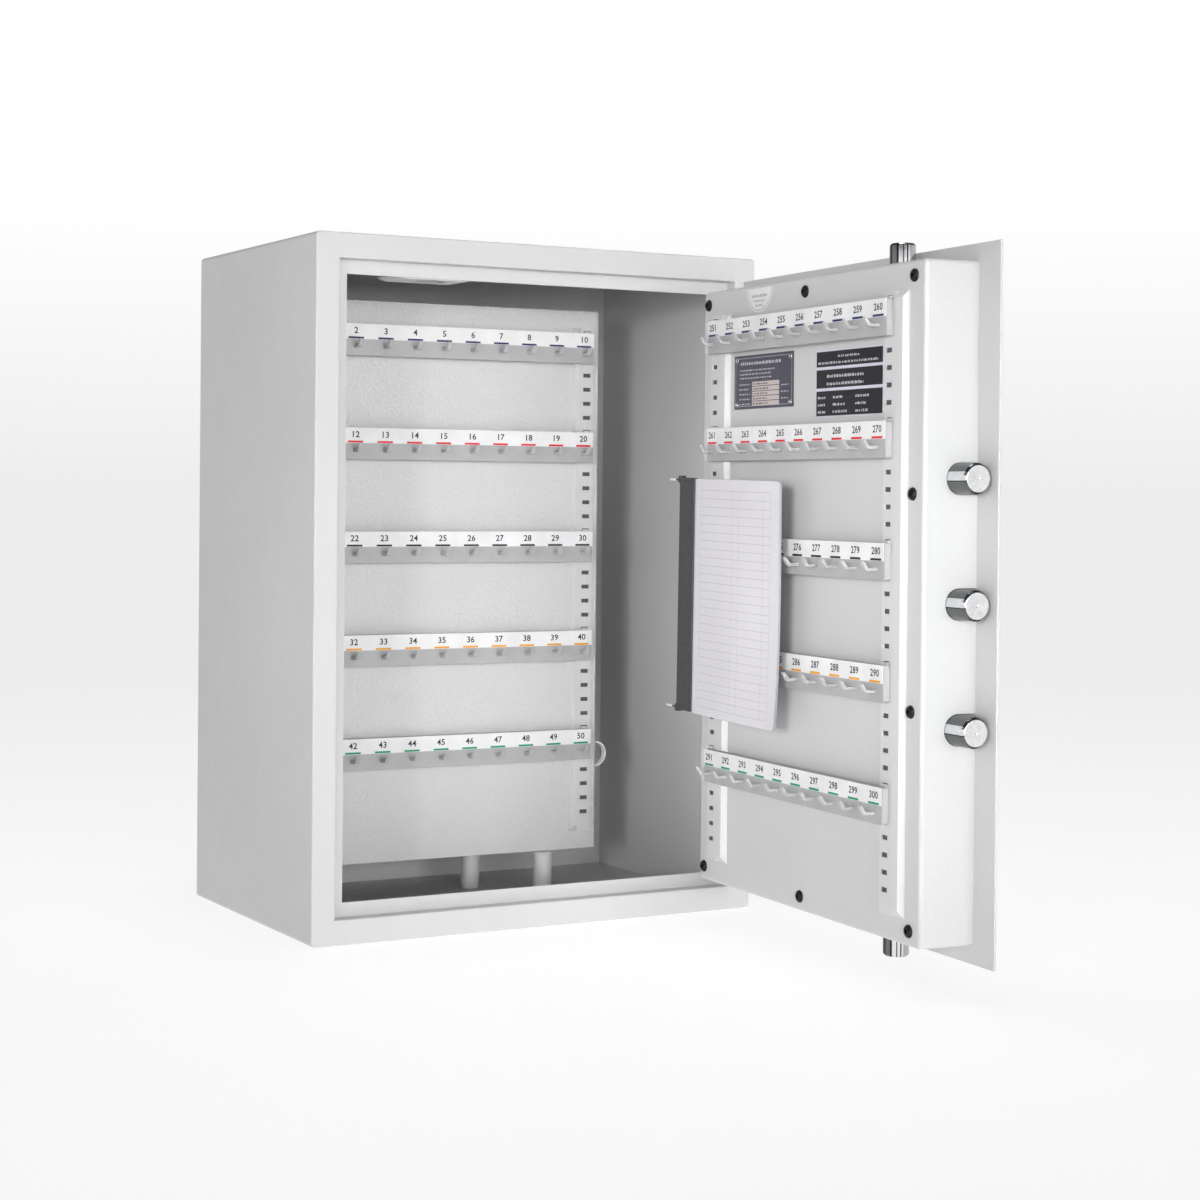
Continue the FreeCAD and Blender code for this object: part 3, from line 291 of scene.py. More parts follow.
def paper_finish():
    """Office paper: soft mottling and a barely visible fibre grain."""
    m = NodeFinish("paper")
    m.colour(m.ramp(m.noise(9.0, 4.0), ((0.3, (0.64, 0.625, 0.655)), (0.7, (0.69, 0.675, 0.705)))))
    m.rough(m.span(m.noise(300.0), 0.66, 0.78))
    m.bump((m.noise(700.0, 4.0, 0.6), 0.12, 0.00025), (m.noise(14.0, 2.0), 0.10, 0.002))
    return m.material


MAT = make_materials()


# ---------------------------------------------------------------- placing
def turn_about(x, y, angle):
    there = Matrix.Translation((x, y, 0))
    return there @ Matrix.Rotation(angle, 4, "Z") @ there.inverted()


OPENED = turn_about(*HINGE, DOOR_OPEN)
HALF_TURN = Matrix.Rotation(pi, 4, "Z")
# takes (u, n, z) on the door to the row frame, with the door open
DOOR = OPENED @ Matrix((
    (-1, 0, 0, LEAF_EDGE_X), (0, 1, 0, LEAF_INNER_Y), (0, 0, 1, 0), (0, 0, 0, 1),
))


def panel_face(y, degrees_at_rest, back):
    """Takes (a, -b, z) of one hook face to the row frame."""
    at_rest = turn_about(PIVOT_X, y, radians(degrees_at_rest))
    off = 0.75 if back else -0.75
    face = Matrix.Translation((PIVOT_X, y + off, 0))
    return at_rest @ face @ (HALF_TURN if back else Matrix.Identity(4))


DOOR_FACE = OPENED @ Matrix.Translation((LEAF_EDGE_X, LEAF_INNER_Y + COVER_DEPTH, 0)) @ HALF_TURN
# name, body, first number, where the bars start, its placing, slot positions
FACES = (
    ("panel_1_front", "panel_1", 1, 36.0, panel_face(PANEL_1_Y, -1.3, False), (39.5, 389.5)),
    ("panel_1_back", "panel_1", 51, -393.0, panel_face(PANEL_1_Y, -1.3, True), (-389.5, -39.5)),
    ("panel_2_front", "panel_2", 101, 36.0, panel_face(PANEL_2_Y, -1.8, False), (39.5, 389.5)),
    ("panel_2_back", "panel_2", 151, -393.0, panel_face(PANEL_2_Y, -1.8, True), (-389.5, -39.5)),
    ("wall", "cabinet", 201, 74.0, Matrix.Translation((-252.5, 167.0, 0)), (77.5, 427.5)),
    ("door", "door", 251, 55.0, DOOR_FACE, (52.0, 401.0)),
)


# ---------------------------------------------------------------- mesh helpers
class Builder:
    """Collects faces in millimetres and makes one object from them."""

    def __init__(self):
        self.points = []
        self.faces = []
        self.kinds = []
        self.smooth = []

    def add(self, points, faces, kind=0, smooth=False):
        base = len(self.points)
        self.points += [Vector(p) for p in points]
        self.faces += [[base + i for i in f] for f in faces]
        self.kinds += [kind] * len(faces)
        self.smooth += [smooth] * len(faces)

    def slab(self, place, x0, x1, z0, z1, y, thick=0.05, kind=0):
        """A thin printed rectangle facing -Y of its own frame, y being its front."""
        corners = [(x0, z0), (x1, z0), (x1, z1), (x0, z1)]
        pts = [place @ Vector((x, y, z)) for x, z in corners]
        pts += [place @ Vector((x, y + thick, z)) for x, z in corners]
        faces = [(0, 1, 2, 3), (7, 6, 5, 4)]
        faces += [(i, i + 4, (i + 1) % 4 + 4, (i + 1) % 4) for i in range(4)]
        self.add(pts, faces, kind)

    def lathe(self, place, profile, count=64, kinds=None, painted_reflection_band=None):
        """Turns (along, radius) points about the local X axis.

        The band argument picks a painted reflection streak for the outer wall from the angle around
        the axis."""
        rings = []
        base = len(self.points)
        for along, radius in profile:
            for i in range(count):
                t = 2 * pi * i / count
                self.points.append(place @ Vector((along, radius * cos(t), radius * sin(t))))
            rings.append(base)
            base += count
        for k in range(len(profile) - 1):
            for i in range(count):
                j = (i + 1) % count
                a, b = rings[k], rings[k + 1]
                self.faces.append([a + i, a + j, b + j, b + i])
                kind = kinds[k] if kinds else 0
                # painted reflection streaks on the plain chrome wall
                if painted_reflection_band and kind == 0:
                    kind = painted_reflection_band(2 * pi * (i + 0.5) / count)
                self.kinds.append(kind)
                self.smooth.append(True)
        for ring, last in ((rings[0], False), (rings[-1], True)):
            loop = [ring + i for i in range(count)]
            self.faces.append(loop if last else loop[::-1])
            self.kinds.append(kinds[-1] if kinds and last else (kinds[0] if kinds else 0))
            self.smooth.append(False)

    def make(self, name, materials, body, sharp=35.0):
        mesh = bpy.data.meshes.new(name)
        mesh.from_pydata([p * MM for p in self.points], [], self.faces)
        for material in materials:
            mesh.materials.append(material)
        for polygon, kind, smooth in zip(mesh.polygons, self.kinds, self.smooth):
            polygon.material_index = kind
            polygon.use_smooth = smooth
        fix_normals(mesh, sharp)
        return place_piece(name, mesh, body)


def fix_normals(mesh, sharp):
    bm = bmesh.new()
    bm.from_mesh(mesh)
    bmesh.ops.recalc_face_normals(bm, faces=bm.faces)
    for edge in bm.edges:
        if len(edge.link_faces) == 2 and edge.calc_face_angle(0) > radians(sharp):
            edge.smooth = False
    bm.to_mesh(mesh)
    bm.free()
    mesh.update()


def place_piece(name, mesh, body):
    piece = bpy.data.objects.new(name, mesh)
    SCENE.collection.objects.link(piece)
    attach(piece, body)
    return piece


def softened(node, width, material, slot, keep=None, steps=2, angle=30.0):
    """A copy of a CAD node whose sharp edges are rounded; keep says which edges stay sharp."""
    mesh = NODES[node].data.copy()
    mesh.materials.clear()
    mesh.materials.append(MAT[material])
    bm = bmesh.new()
    bm.from_mesh(mesh)
    bmesh.ops.remove_doubles(bm, verts=bm.verts, dist=2e-6)
    bmesh.ops.dissolve_limit(bm, angle_limit=radians(0.8), verts=bm.verts, edges=bm.edges)
    for face in bm.faces:
        face.smooth = True
        face.material_index = 0
    edges = [
        e for e in bm.edges
        if len(e.link_faces) == 2 and e.calc_face_angle(0) > radians(angle)
        and not (keep and keep(e))
    ]
    bmesh.ops.bevel(
        bm, geom=edges, offset=width * MM, segments=steps, profile=0.5,
        affect="EDGES", clamp_overlap=True,
    )
    for face in bm.faces:
        face.smooth = True
    for edge in bm.edges:
        sharp = len(edge.link_faces) != 2 or edge.calc_face_angle(0) > radians(50)
        edge.smooth = not sharp
    bm.to_mesh(mesh)
    bm.free()
    mesh.update()
    piece = place_piece(f"{node}_finished", mesh, BODY_OF[node])
    even = piece.modifiers.new("even_shading", "WEIGHTED_NORMAL")
    even.keep_sharp = True
    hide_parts(node)
    return piece


def finish_node(node, material):
    for place in NODES[node].material_slots:
        place.material = MAT[material]
    if not NODES[node].material_slots:
        NODES[node].data.materials.append(MAT[material])


# ---------------------------------------------------------------- numbers and colour marks
def digit_shapes(height):
    """Flat outlines of the ten digits, centred in width, standing on zero."""
    shapes = {}
    for digit in "0123456789":
        curve = bpy.data.curves.new("digit", "FONT")
        curve.body = digit
        curve.resolution_u = 3
        curve.offset = 0.018
        holder = bpy.data.objects.new("digit", curve)
        mesh = bpy.data.meshes.new_from_object(holder)
        xs = [v.co.x for v in mesh.vertices]
        ys = [v.co.y for v in mesh.vertices]
        scale = height / (max(ys) - min(ys))
        middle = (max(xs) + min(xs)) / 2
        shapes[digit] = (
            [((v.co.x - middle) * scale * 1.05, (v.co.y - min(ys)) * scale) for v in mesh.vertices],
            [list(p.vertices) for p in mesh.polygons],
        )
        bpy.data.objects.remove(holder)
        bpy.data.meshes.remove(mesh)
        bpy.data.curves.remove(curve)
    return shapes


def write_number(build, shapes, place, text, x, z, y, advance=5.3):
    start = x - advance * (len(text) - 1) / 2
    for i, digit in enumerate(text):
        points, faces = shapes[digit]
        pts = [place @ Vector((start + i * advance + px, y, z + pz)) for px, pz in points]
        build.add(pts, faces, 0)


def add_prints():
    shapes = digit_shapes(7.1)
    inks = [MAT[k] for k in ("ink_black", "ink_navy", "ink_red", "ink_orange", "ink_green")]
    row_kind = (1, 2, 0, 3, 4)
    for name, body, first, start, place, _ in FACES:
        build = Builder()
        for row, z in enumerate(ROW_Z):
            for i in range(10):
                a = start + 12.0 + 36.8 * i
                number = str(first + row * 10 + i)
                write_number(build, shapes, place, number, a, z + 6.8, -LABEL_B - 0.06)
                build.slab(place, a - 9.6, a + 9.6, z + 0.9, z + 3.1, -LABEL_B - 0.05,
                           kind=row_kind[row])
        build.make(f"{name}_print", inks, body)


def add_slot_shadows():
    """Dark slabs inside each slot of the rails: painted shade for the hollow behind it."""
    for body in ("cabinet", "panel_1", "panel_2", "door"):
        build = Builder()
        for _, owner, _, _, place, slots in FACES:
            if owner == body:
                for a in slots:
                    for z in SLOT_Z:
                        build.slab(place, a - 4.9, a + 4.9, z - 2.3, z + 2.3, -2.3, 2.1)
        build.make(f"{body}_slot_shade_slabs", [MAT["painted_slot_shade"]], body)


# ---------------------------------------------------------------- bolts and screws
def bolt_profile(base, tip, radius):
    """Chrome bolt: rounded chamfer, slightly dished turned face with fine rings."""
    way = 1 if tip > base else -1
    points = [(base, radius), (tip - way * 2.6, radius), (tip - way * 2.1, radius - 0.12)]
    points += [(tip - way * 0.5, radius - 1.55), (tip - way * 0.12, radius - 2.0)]
    points += [(tip, radius - 2.6)]
    ring = radius - 3.2
    while ring > 1.6:
        points += [(tip, ring), (tip - way * 0.05, ring - 0.3)]
        ring -= 0.9
    points += [(tip - way * 0.1, 1.2), (tip - way * 0.5, 0.6)]
    return points


def painted_side_reflection_band(t):
    """Painted reflections on the plating: darker above and below a bright streak along each flank.
    """
    up = sin(t)
    if -0.10 < up < 0.42:
        return 0
    return 3 if -0.22 < up <= -0.10 or abs(up) > 0.97 else 2


def painted_end_reflection_band(t):
    """Painted reflections on the upright bolts: a fixed set of light and dark streaks, twice round.
    """
    s = sin((t - radians(55.5) + pi / 2) % pi - pi / 2)
    painted_reflection_streaks = ((-0.765, 3), (-0.41, 2), (-0.306, 3), (0.035, 0), (0.118, 2), (0.318, 0),
               (0.42, 3), (0.576, 0), (1.01, 4))
    for limit, kind in painted_reflection_streaks:
        if s < limit:
            return kind
    return 4


def add_bolts():
    # chrome, the turned face, then three painted reflection tones for the bolts' streaks
    chrome_and_painted_reflections = [MAT[k] for k in
                ("chrome", "chrome_face", "chrome_painted_mid_reflection", "chrome_painted_dark_reflection", "chrome_painted_soft_reflection")]
    side = Builder()
    for z in (255.0, 375.0, 495.0):
        place = DOOR @ Matrix.Translation((0, 19.7, z))
        profile = bolt_profile(412.0, 487.0, 15.0)
        kinds = [0] * 4 + [1] * (len(profile) - 4)
        side.lathe(place, profile, 96, kinds, painted_side_reflection_band)
        side.lathe(place, [(404.0, 6.0), (412.5, 6.0)], 32)
    piece = side.make("side_bolts_turned", chrome_and_painted_reflections, "side_carriage", 60)
    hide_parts("side_bolts")
    upright = Matrix(((0, 0, 1, 0), (0, 1, 0, 0), (1, 0, 0, 0), (0, 0, 0, 1)))
    for name, base, tip in (("top", 677.0, 727.0), ("bottom", 74.0, 24.0)):
        end = Builder()
        place = DOOR @ Matrix.Translation((368.0, 28.0, 0)) @ upright
        profile = bolt_profile(base, tip, 13.0)
        kinds = [0] * 4 + [1] * (len(profile) - 4)
        end.lathe(place, profile, 120, kinds, painted_end_reflection_band)
        piece = end.make(f"{name}_bolt_turned", chrome_and_painted_reflections, f"{name}_bolt_rod", 60)
        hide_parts(f"{name}_bolt")


def hexagon_radius(angle, across_flats):
    step = pi / 3
    local = (angle % step) - step / 2
    return across_flats / 2 / cos(local)


def add_screws():
    """Black button-head screws with a hexagon socket, on thin washers."""
    build = Builder()
    places = [(u, z) for z in (62.5, 688.5) for u in (31.0, 238.0, 439.0)]
    places += [(u, z) for z in (272.0, 480.0) for u in (31.0, 439.0)]
    count = 36
    for u, z in places:
        centre = Vector((u, 0, z))
        rings = [(0.0, 6.5, 0), (0.5, 6.5, 0), (1.4, 6.2, 0), (2.3, 5.4, 0), (2.9, 4.4, 0),
                 (3.15, 3.4, 0), (3.15, 2.3, 1), (1.3, 2.2, 1), (1.2, 0.6, 1)]
        points = []
        for depth, radius, hexed in rings:
            for i in range(count):
                t = 2 * pi * i / count
                r = radius
                if hexed:
                    r = radius / 2.3 * hexagon_radius(t, 4.2)
                spot = centre + Vector((r * cos(t), COVER_DEPTH + depth, r * sin(t)))
                points.append(DOOR @ spot)
        faces = []
        for k in range(len(rings) - 1):
            for i in range(count):
                j = (i + 1) % count
                here, there = k * count, (k + 1) * count
                faces.append((here + i, here + j, there + j, there + i))
        last = (len(rings) - 1) * count
        faces.append([last + i for i in range(count)])
        faces.append([i for i in range(count)][::-1])
        build.add(points, faces, 0, True)
        shank = DOOR @ Matrix.Translation((u, 0, z)) @ Matrix.Rotation(radians(90), 4, "Z")
        build.lathe(shank, [(COVER_DEPTH - 12.0, 2.9), (COVER_DEPTH, 2.9)], 24)
    piece = build.make("cover_screws_socket_head", [MAT["black_screw"]], "door", 38)
    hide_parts("cover_screws")


# ---------------------------------------------------------------- register
REG_U = (67.5, 251.0)
REG_Z = (238.5, 495.5)
SPINE_EDGE_U = 35.5
SPINE_Z = (239.5, 496.5)
REG_PIVOT = (SPINE_EDGE_U, SPINE_Z[1])
SLEEVE_R = 1.25
SLEEVE_INSET = 2.5                 # from the spine's ends to its wires
SLEEVE_START, SLEEVE_LEN = 8.0, 14.0
SLEEVE_N, SLEEVE_BOW = 98.0, 1.1
TILT = radians(1.0)


def on_register(u, n, z):
    """The register hangs a little askew in its own plane."""
    du, dz = u - REG_PIVOT[0], z - REG_PIVOT[1]
    return DOOR @ Vector((
        REG_PIVOT[0] + du * cos(TILT) + dz * sin(TILT), n,
        REG_PIVOT[1] - du * sin(TILT) + dz * cos(TILT),
    ))


def sheet_depth(s, t, lift):
    """How far a leaf stands out at s across (0 at the spine) and t down (0 at the top)."""
    bow = 1.6 * sin(pi * min(1, s * 1.15)) * (0.6 + 0.4 * t)
    curl = 5.5 * max(0.0, s - 0.80) ** 2 * 25 * max(0.0, t - 0.72) ** 2 * 12 * 0.55
    wave = 0.5 * sin(2.2 * pi * t + 1.4 * s)
    return 96.0 + lift + (bow + wave) * min(1.0, s * 5) + curl + lift * 1.2 * s


def sheet_outline(s, t):
    """Flat place of a point on a leaf, with its lower outer corner rounded."""
    u = REG_U[0] + (REG_U[1] - REG_U[0]) * s
    z = REG_Z[1] - (REG_Z[1] - REG_Z[0]) * t
    corner = 6.0
    du = REG_U[1] - u
    for edge_z, way in ((REG_Z[0], 1), (REG_Z[1], -1)):
        dz = (z - edge_z) * way
        if du < corner and dz < corner:
            gap = hypot(corner - du, corner - dz)
            if gap > corner:
                scale = corner / gap
                u = REG_U[1] - corner + (corner - du) * scale
                z = edge_z + way * (corner - (corner - dz) * scale)
    return u, z


def leaf_point(s, t, lift, slide=0.0, over=0.0):
    u, z = sheet_outline(s, t)
    return on_register(u + slide * s, sheet_depth(s, t, lift) + over, z + slide * 0.3 * s)


def add_register():
    build = Builder()
    across, down = 40, 56
    levels = ((-1.1, -0.2), (-0.72, 0.9), (-0.36, 0.3), (0.0, 0.0))
    for lift, slide in levels:
        points = []
        for back in (0.0, -0.12):
            for j in range(down + 1):
                for i in range(across + 1):
                    points.append(leaf_point(i / across, j / down, lift, slide, back))
        row = across + 1
        half = row * (down + 1)
        faces = []
        for j in range(down):
            for i in range(across):
                a = j * row + i
                faces.append((a, a + row, a + row + 1, a + 1))
                faces.append((half + a, half + a + 1, half + a + row + 1, half + a + row))
        rim = [i for i in range(across + 1)]
        rim += [j * row + across for j in range(1, down + 1)]
        rim += [down * row + i for i in range(across - 1, -1, -1)]
        rim += [j * row for j in range(down - 1, 0, -1)]
        for k, a in enumerate(rim):
            b = rim[(k + 1) % len(rim)]
            faces.append((a, b, b + half, a + half))
        build.add(points, faces, 0, True)
    add_rules(build)
    piece = build.make("register_leaves", [MAT["paper"], MAT["rule_grey"]], "door", 60)
    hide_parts("register_sheets")


def add_wire_sleeves():
    """Pale sleeves on the two wires that hang the register."""
    build = Builder()
    steps, ring = 12, 14
    for z in (SPINE_Z[1] - SLEEVE_INSET, SPINE_Z[0] + SLEEVE_INSET):
        points = [
            on_register(SPINE_EDGE_U - SLEEVE_START - SLEEVE_LEN * k / steps,
                        SLEEVE_N + SLEEVE_BOW * sin(pi * k / steps), z)
            for k in range(steps + 1)
        ]
        along = (points[-1] - points[0]).normalized()
        side = along.cross(Vector((0, 0, 1))).normalized()
        up = side.cross(along)
        pts = [
            p + SLEEVE_R * (cos(2 * pi * i / ring) * side + sin(2 * pi * i / ring) * up)
            for p in points for i in range(ring)
        ]
        faces = [
            (k * ring + i, k * ring + (i + 1) % ring, (k + 1) * ring + (i + 1) % ring,
             (k + 1) * ring + i)
            for k in range(steps) for i in range(ring)
        ]
        faces += [list(range(ring))[::-1], [steps * ring + i for i in range(ring)]]
        build.add(pts, faces, 0, True)
    build.make("register_wire_sleeves", [MAT["label_white"]], "door", 60)


def add_rules(build):
    """The printed table on the top leaf: rows, and four column lines."""
    def line(points, half_s, half_t):
        made = []
        for s, t in points:
            made.append(leaf_point(s - half_s, t - half_t, 0.0, 0.0, 0.06))
            made.append(leaf_point(s + half_s, t + half_t, 0.0, 0.0, 0.06))
        faces = [(2 * k, 2 * k + 2, 2 * k + 3, 2 * k + 1) for k in range(len(points) - 1)]
        build.add(made, faces, 1)

    t0, t1, rows = 0.047, 0.965, 26
    s0, s1 = 0.075, 0.90
    for k in range(rows + 1):
        t = t0 + (t1 - t0) * k / rows
        line([(s0 + (s1 - s0) * i / 30, t) for i in range(31)], 0.0, 0.00062)
    for s in (s0, 0.47, 0.55, 0.82, s1):
        line([(s, t0 + (t1 - t0) * i / 40) for i in range(41)], 0.00075, 0.0)


# ---------------------------------------------------------------- plates and sticker
def text_line(build, rnd, place, x0, x1, z, height, y, kind, fill=1.0):
    """A line of unreadable print: short bars with gaps."""
    x = x0
    end = x0 + (x1 - x0) * fill
    while x < end - 1.0:
        word = rnd.uniform(2.0, 6.5)
        stop = min(end, x + word)
        while x < stop - 0.5:
            w = rnd.uniform(0.7, 1.3)
            tall = height * rnd.choice((1.0, 0.78, 0.78, 1.0, 0.9))
            build.slab(place, x, min(stop, x + w), z, z + tall, y, 0.02, kind)
            x += w + 0.45
        x += 1.3


def door_print_place():
    """Takes (u, -n, z) to the row frame, so that a slab faces away from the door."""
    return DOOR @ Matrix(((1, 0, 0, 0), (0, -1, 0, 0), (0, 0, 1, 0), (0, 0, 0, 1)))


def add_plates():
    rnd = random.Random(7)
    place = door_print_place()
    front = -(COVER_DEPTH + 0.86)
    u0, u1, z0, z1 = 91.5, 216.5, 570.5, 628.5
    w, h = u1 - u0, z1 - z0
    build = Builder()
    for a, b, c, d in ((3, w - 3, h - 3.4, h - 3.0), (3, w - 3, 3.0, 3.4), (3, 3.4, 3, h - 3),
                       (w - 3.4, w - 3, 3, h - 3)):
        build.slab(place, u0 + a, u0 + b, z0 + c, z0 + d, front, 0.02, 0)
    text_line(build, rnd, place, u0 + 14, u1 - 26, z1 - 10.5, 3.4, front, 0)
    for k in range(3):
        text_line(build, rnd, place, u0 + 12, u0 + w * 0.70, z1 - 17.0 - 4.2 * k, 1.5, front, 0,
                  rnd.uniform(0.8, 1.0))
    f0, f1 = u0 + 0.31 * w, u0 + 0.77 * w
    top = z0 + 0.50 * h
    for k in range(5):
        high = top - k * 5.3
        build.slab(place, f0, f1, high - 4.5, high, front, 0.02, 1)
        text_line(build, rnd, place, u0 + 11, f0 - 2.0, high - 3.2, 1.6, front, 0, 0.9)
        text_line(build, rnd, place, f0 + 2, f1 - 2, high - 3.3, 1.9, front - 0.02, 2, 0.6)
    for k in range(3):
        text_line(build, rnd, place, f1 + 4, u1 - 8, z0 + 9 + 7 * k, 1.3, front, 0, 0.9)
    build.make("rating_plate_print", [MAT["print_pale"], MAT["print_pink"], MAT["ink_black"]],
               "door")
    rivets = Builder()
    for u in (u0 + 6, u1 - 6):
        for z in (z0 + 5, z1 - 5):
            axis = DOOR @ Matrix.Translation((u, 0, z)) @ Matrix.Rotation(radians(90), 4, "Z")
            n = COVER_DEPTH + 0.8
            rivets.lathe(axis, [(n, 2.9), (n + 0.4, 2.85), (n + 0.9, 2.4), (n + 1.3, 1.6),
                                (n + 1.5, 0.7), (n + 1.25, 0.45)], 32)
    rivets.make("rating_plate_rivets", [MAT["chrome"]], "door", 60)
    info = Builder()
    u0, u1 = 263.0, 385.5
    levels = ((558.8, 583.8), (587.0, 605.4), (608.6, 624.0))
    lines = ((3, 2.6, 0.9), (2, 3.0, 0.8), (2, 2.4, 0.95))
    for (low, high), (count, size, fill) in zip(levels, lines):
        info.slab(place, u0 - 0.05, u1 + 0.05, low - 0.05, high + 0.05, front, 0.4, 1)
        pitch = (high - low - 3.0) / count
        for k in range(count):
            z = low + 2.6 + k * pitch
            ink = front - 0.03
            if count == 3:
                text_line(info, rnd, place, u0 + 3, u0 + 22, z, size, ink, 0, 0.8)
                text_line(info, rnd, place, u0 + 32, u0 + 66, z, size, ink, 0,
                          rnd.uniform(0.5, 0.95))
                text_line(info, rnd, place, u0 + 74, u1 - 16, z, size, ink, 0,
                          rnd.uniform(0.5, 0.95))
            elif low > 600:
                edge = 3 + 38 * (k % 2)
                text_line(info, rnd, place, u0 + edge, u1 - edge + 1, z, size, ink, 0, fill)
            else:
                text_line(info, rnd, place, u0 + 20, u1 - 16, z, size, ink, 0, fill)
    info.make("info_plate_print", [MAT["print_pale"], MAT["plate_black"]], "door")


def add_sticker():
    """Round white seal, cut off by the top edge of the cover."""
    build = Builder()
    place = door_print_place()
    centre_u, centre_z, radius, top = 143.0, 702.0, 28.5, 699.4
    y = -(COVER_DEPTH + 0.12)

    def arc(r, y_at, kind, inner=None):
        pts, steps = [], 48
        for i in range(steps + 1):
            t = pi + (pi * i / steps)
            x, z = centre_u + r * cos(t), min(top, centre_z + r * sin(t))
            pts.append(place @ Vector((x, y_at, z)))
            if inner:
                x, z = centre_u + inner * cos(t), min(top, centre_z + inner * sin(t))
                pts.append(place @ Vector((x, y_at, z)))
        if inner:
            faces = [(2 * k, 2 * k + 2, 2 * k + 3, 2 * k + 1) for k in range(steps)]
            build.add(pts, faces, kind)
        else:
            build.add(pts, [list(range(steps + 1))], kind)

    arc(radius, y, 0)
    arc(26.6, y - 0.02, 1, 25.9)
    rnd = random.Random(3)
    for k, (half, size) in enumerate(((16.0, 3.0), (12.0, 2.2), (8.0, 2.2))):
        text_line(build, rnd, place, centre_u - half, centre_u + half, 690.0 - 5.0 * k, size,
                  y - 0.03, 1)
    build.make("round_seal", [MAT["label_white"], MAT["rule_grey"]], "door")


# ---------------------------------------------------------------- carried-over and softened nodes
def dress_nodes():
    plain = {
        "shell_wrapper": "body_paint", "rear_wall": "inner_paint", "front_frame": "body_paint",
        "boltwork_cover": "body_paint", "door_posts": "zinc_steel", "panel_1_pivot": "zinc_steel",
        "panel_2_pivot": "zinc_steel", "top_rod": "zinc_steel", "bottom_rod": "zinc_steel",
        "bolt_carriage": "zinc_steel", "drive_spindle": "steel", "spindle_bush": "steel",
        "hinge_pins": "steel", "lock_case": "zinc_steel", "lock_bolt": "steel",
        "register_spine": "binder_black", "bolt_keepers": "inner_paint",
        "wall_rails": "rail_white", "door_rails": "rail_white", "panel_1_rails": "rail_white",
        "panel_2_rails": "rail_white",
    }
    for node, material in plain.items():
        finish_node(node, material)
    for panel in ("panel_1", "panel_2"):
        softened(f"{panel}_sheet", 0.35, "inner_paint", "inner_paint")
        softened(f"{panel}_leg", 0.5, "rail_white", "rail_white")
        softened(f"{panel}_pull", 0.5, "label_white", "rail_white")
    for name, *_ in FACES:
        softened(f"{name}_hook_bars", 0.3, "bar_grey", "bar_grey")
        softened(f"{name}_hooks", 0.55, "hook_grey", "hook_grey", angle=12.0)
        softened(f"{name}_labels", 0.15, "label_white", "label_white")
    # node, width of its softened edges in millimetres, material, material slot
    for row in (
        ("door_leaf", 0.7, "body_paint", "body_paint"),
        ("door_hinge_straps", 0.6, "body_paint", "body_paint"),
        ("frame_knuckles", 0.5, "body_paint", "body_paint"),
        ("panel_brackets", 0.5, "zinc_steel", "zinc_steel"),
        ("rating_plate", 0.15, "plate_dark_blue", "plate_dark_blue"),
        ("info_plate", 0.1, "plate_backing", "plate_black"),
        ("key_escutcheon", 0.3, "chrome", "chrome"),
        ("keyhole_cover", 0.3, "chrome", "chrome"),
        ("handle_rosette", 0.5, "chrome", "chrome"),
        ("handle_lever", 0.8, "chrome", "chrome"),
    ):
        softened(*row)


# ---------------------------------------------------------------- stage and light
FLOOR_HALF = 60.0                  # metres
FLOOR_Z = -0.0006                  # just under the cabinet, so that the two don't coincide
FLOOR_GLOW = 0.70
# how bright the studio is, by the upward part of the direction looked in
STUDIO_STOPS = (
    (0.0, (0.845, 0.845, 0.845)), (0.12, (1, 1, 1)), (0.26, (1, 1, 1)),
    (0.34, (0.16, 0.16, 0.17)), (1.0, (0.18, 0.18, 0.19)),
)


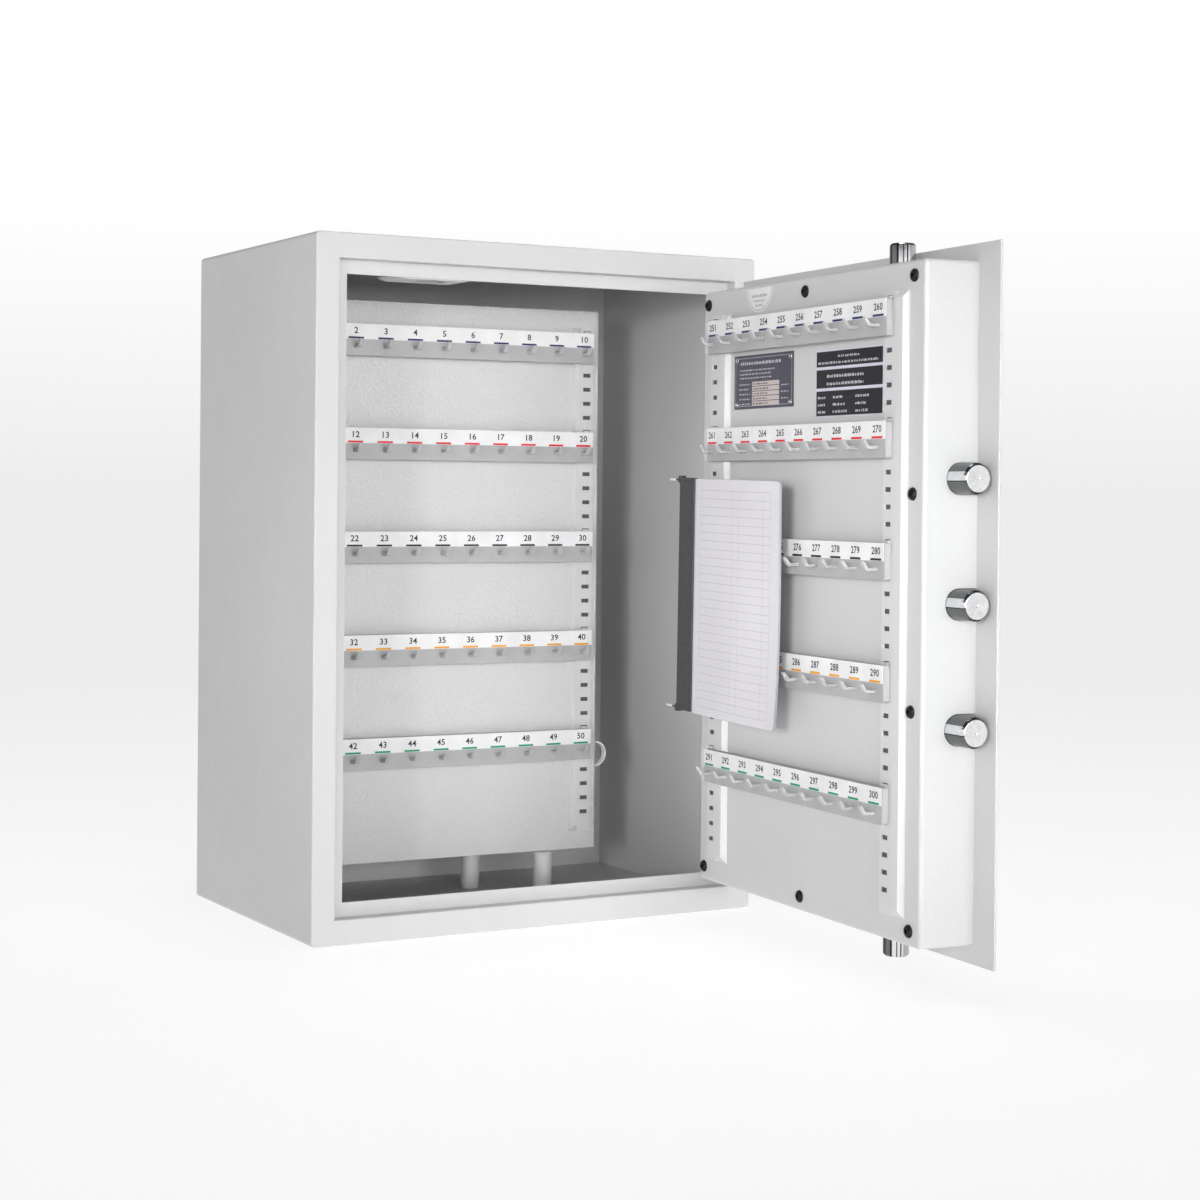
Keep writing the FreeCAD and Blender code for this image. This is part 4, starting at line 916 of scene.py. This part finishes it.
def add_stage():
    mesh = bpy.data.meshes.new("floor")
    r, z = FLOOR_HALF, FLOOR_Z
    mesh.from_pydata([(-r, -r, z), (r, -r, z), (r, r, z), (-r, r, z)], [], [(0, 1, 2, 3)])
    m = NodeFinish("floor")
    m.colour(m.ramp(m.noise(2.0, 3.0), ((0.3, (0.40, 0.40, 0.40)), (0.7, (0.42, 0.42, 0.42)))))
    m.set(Roughness=0.7)
    m.shader.inputs["Emission Color"].default_value = (1, 1, 1, 1)
    m.shader.inputs["Emission Strength"].default_value = FLOOR_GLOW
    mesh.materials.append(m.material)
    floor = bpy.data.objects.new("floor", mesh)
    SCENE.collection.objects.link(floor)


def area_light(name, place, target, size, power, spread=180.0):
    data = bpy.data.lights.new(name, "AREA")
    data.shape = "RECTANGLE"
    data.size, data.size_y = size
    data.energy = power
    data.spread = radians(spread)
    light = bpy.data.objects.new(name, data)
    light.location = place
    aim = Vector(target) - Vector(place)
    light.rotation_euler = aim.to_track_quat("-Z", "Y").to_euler()
    light.visible_camera = False
    SCENE.collection.objects.link(light)


def add_world():
    """White all round at eye level, dimmer overhead."""
    world = bpy.data.worlds.new("studio")
    world.use_nodes = True
    SCENE.world = world
    nodes, links = world.node_tree.nodes, world.node_tree.links
    coords = nodes.new("ShaderNodeTexCoord")
    split = nodes.new("ShaderNodeSeparateXYZ")
    links.new(coords.outputs["Generated"], split.inputs[0])
    ramp = nodes.new("ShaderNodeValToRGB")
    elements = ramp.color_ramp.elements
    elements[0].color = (*STUDIO_STOPS[0][1], 1)
    elements[1].color = (*STUDIO_STOPS[-1][1], 1)
    for place, colour in STUDIO_STOPS[1:-1]:
        elements.new(place).color = (*colour, 1)
    links.new(split.outputs["Z"], ramp.inputs["Fac"])
    links.new(ramp.outputs["Color"], nodes["Background"].inputs["Color"])
    nodes["Background"].inputs["Strength"].default_value = 1.0


add_camera()
add_world()
add_stage()
area_light("key", (-1.0, -9.3, 0.9), (0.0, -0.1, 0.38), (5.6, 3.0), 525)
area_light("door_fill", (-1.9, -2.1, 0.62), (0.24, -0.30, 0.38), (0.6, 0.6), 1.05, 22.0)
area_light("overhead", (0.0, -0.1, 6.0), (0.0, -0.1, 0.0), (2.0, 2.0), 10, 60.0)
dress_nodes()
add_prints()
add_slot_shadows()
add_bolts()
add_screws()
add_register()
add_wire_sleeves()
add_plates()
add_sticker()
SCENE.view_settings.view_transform = "Standard"

bpy.context.view_layer.update()
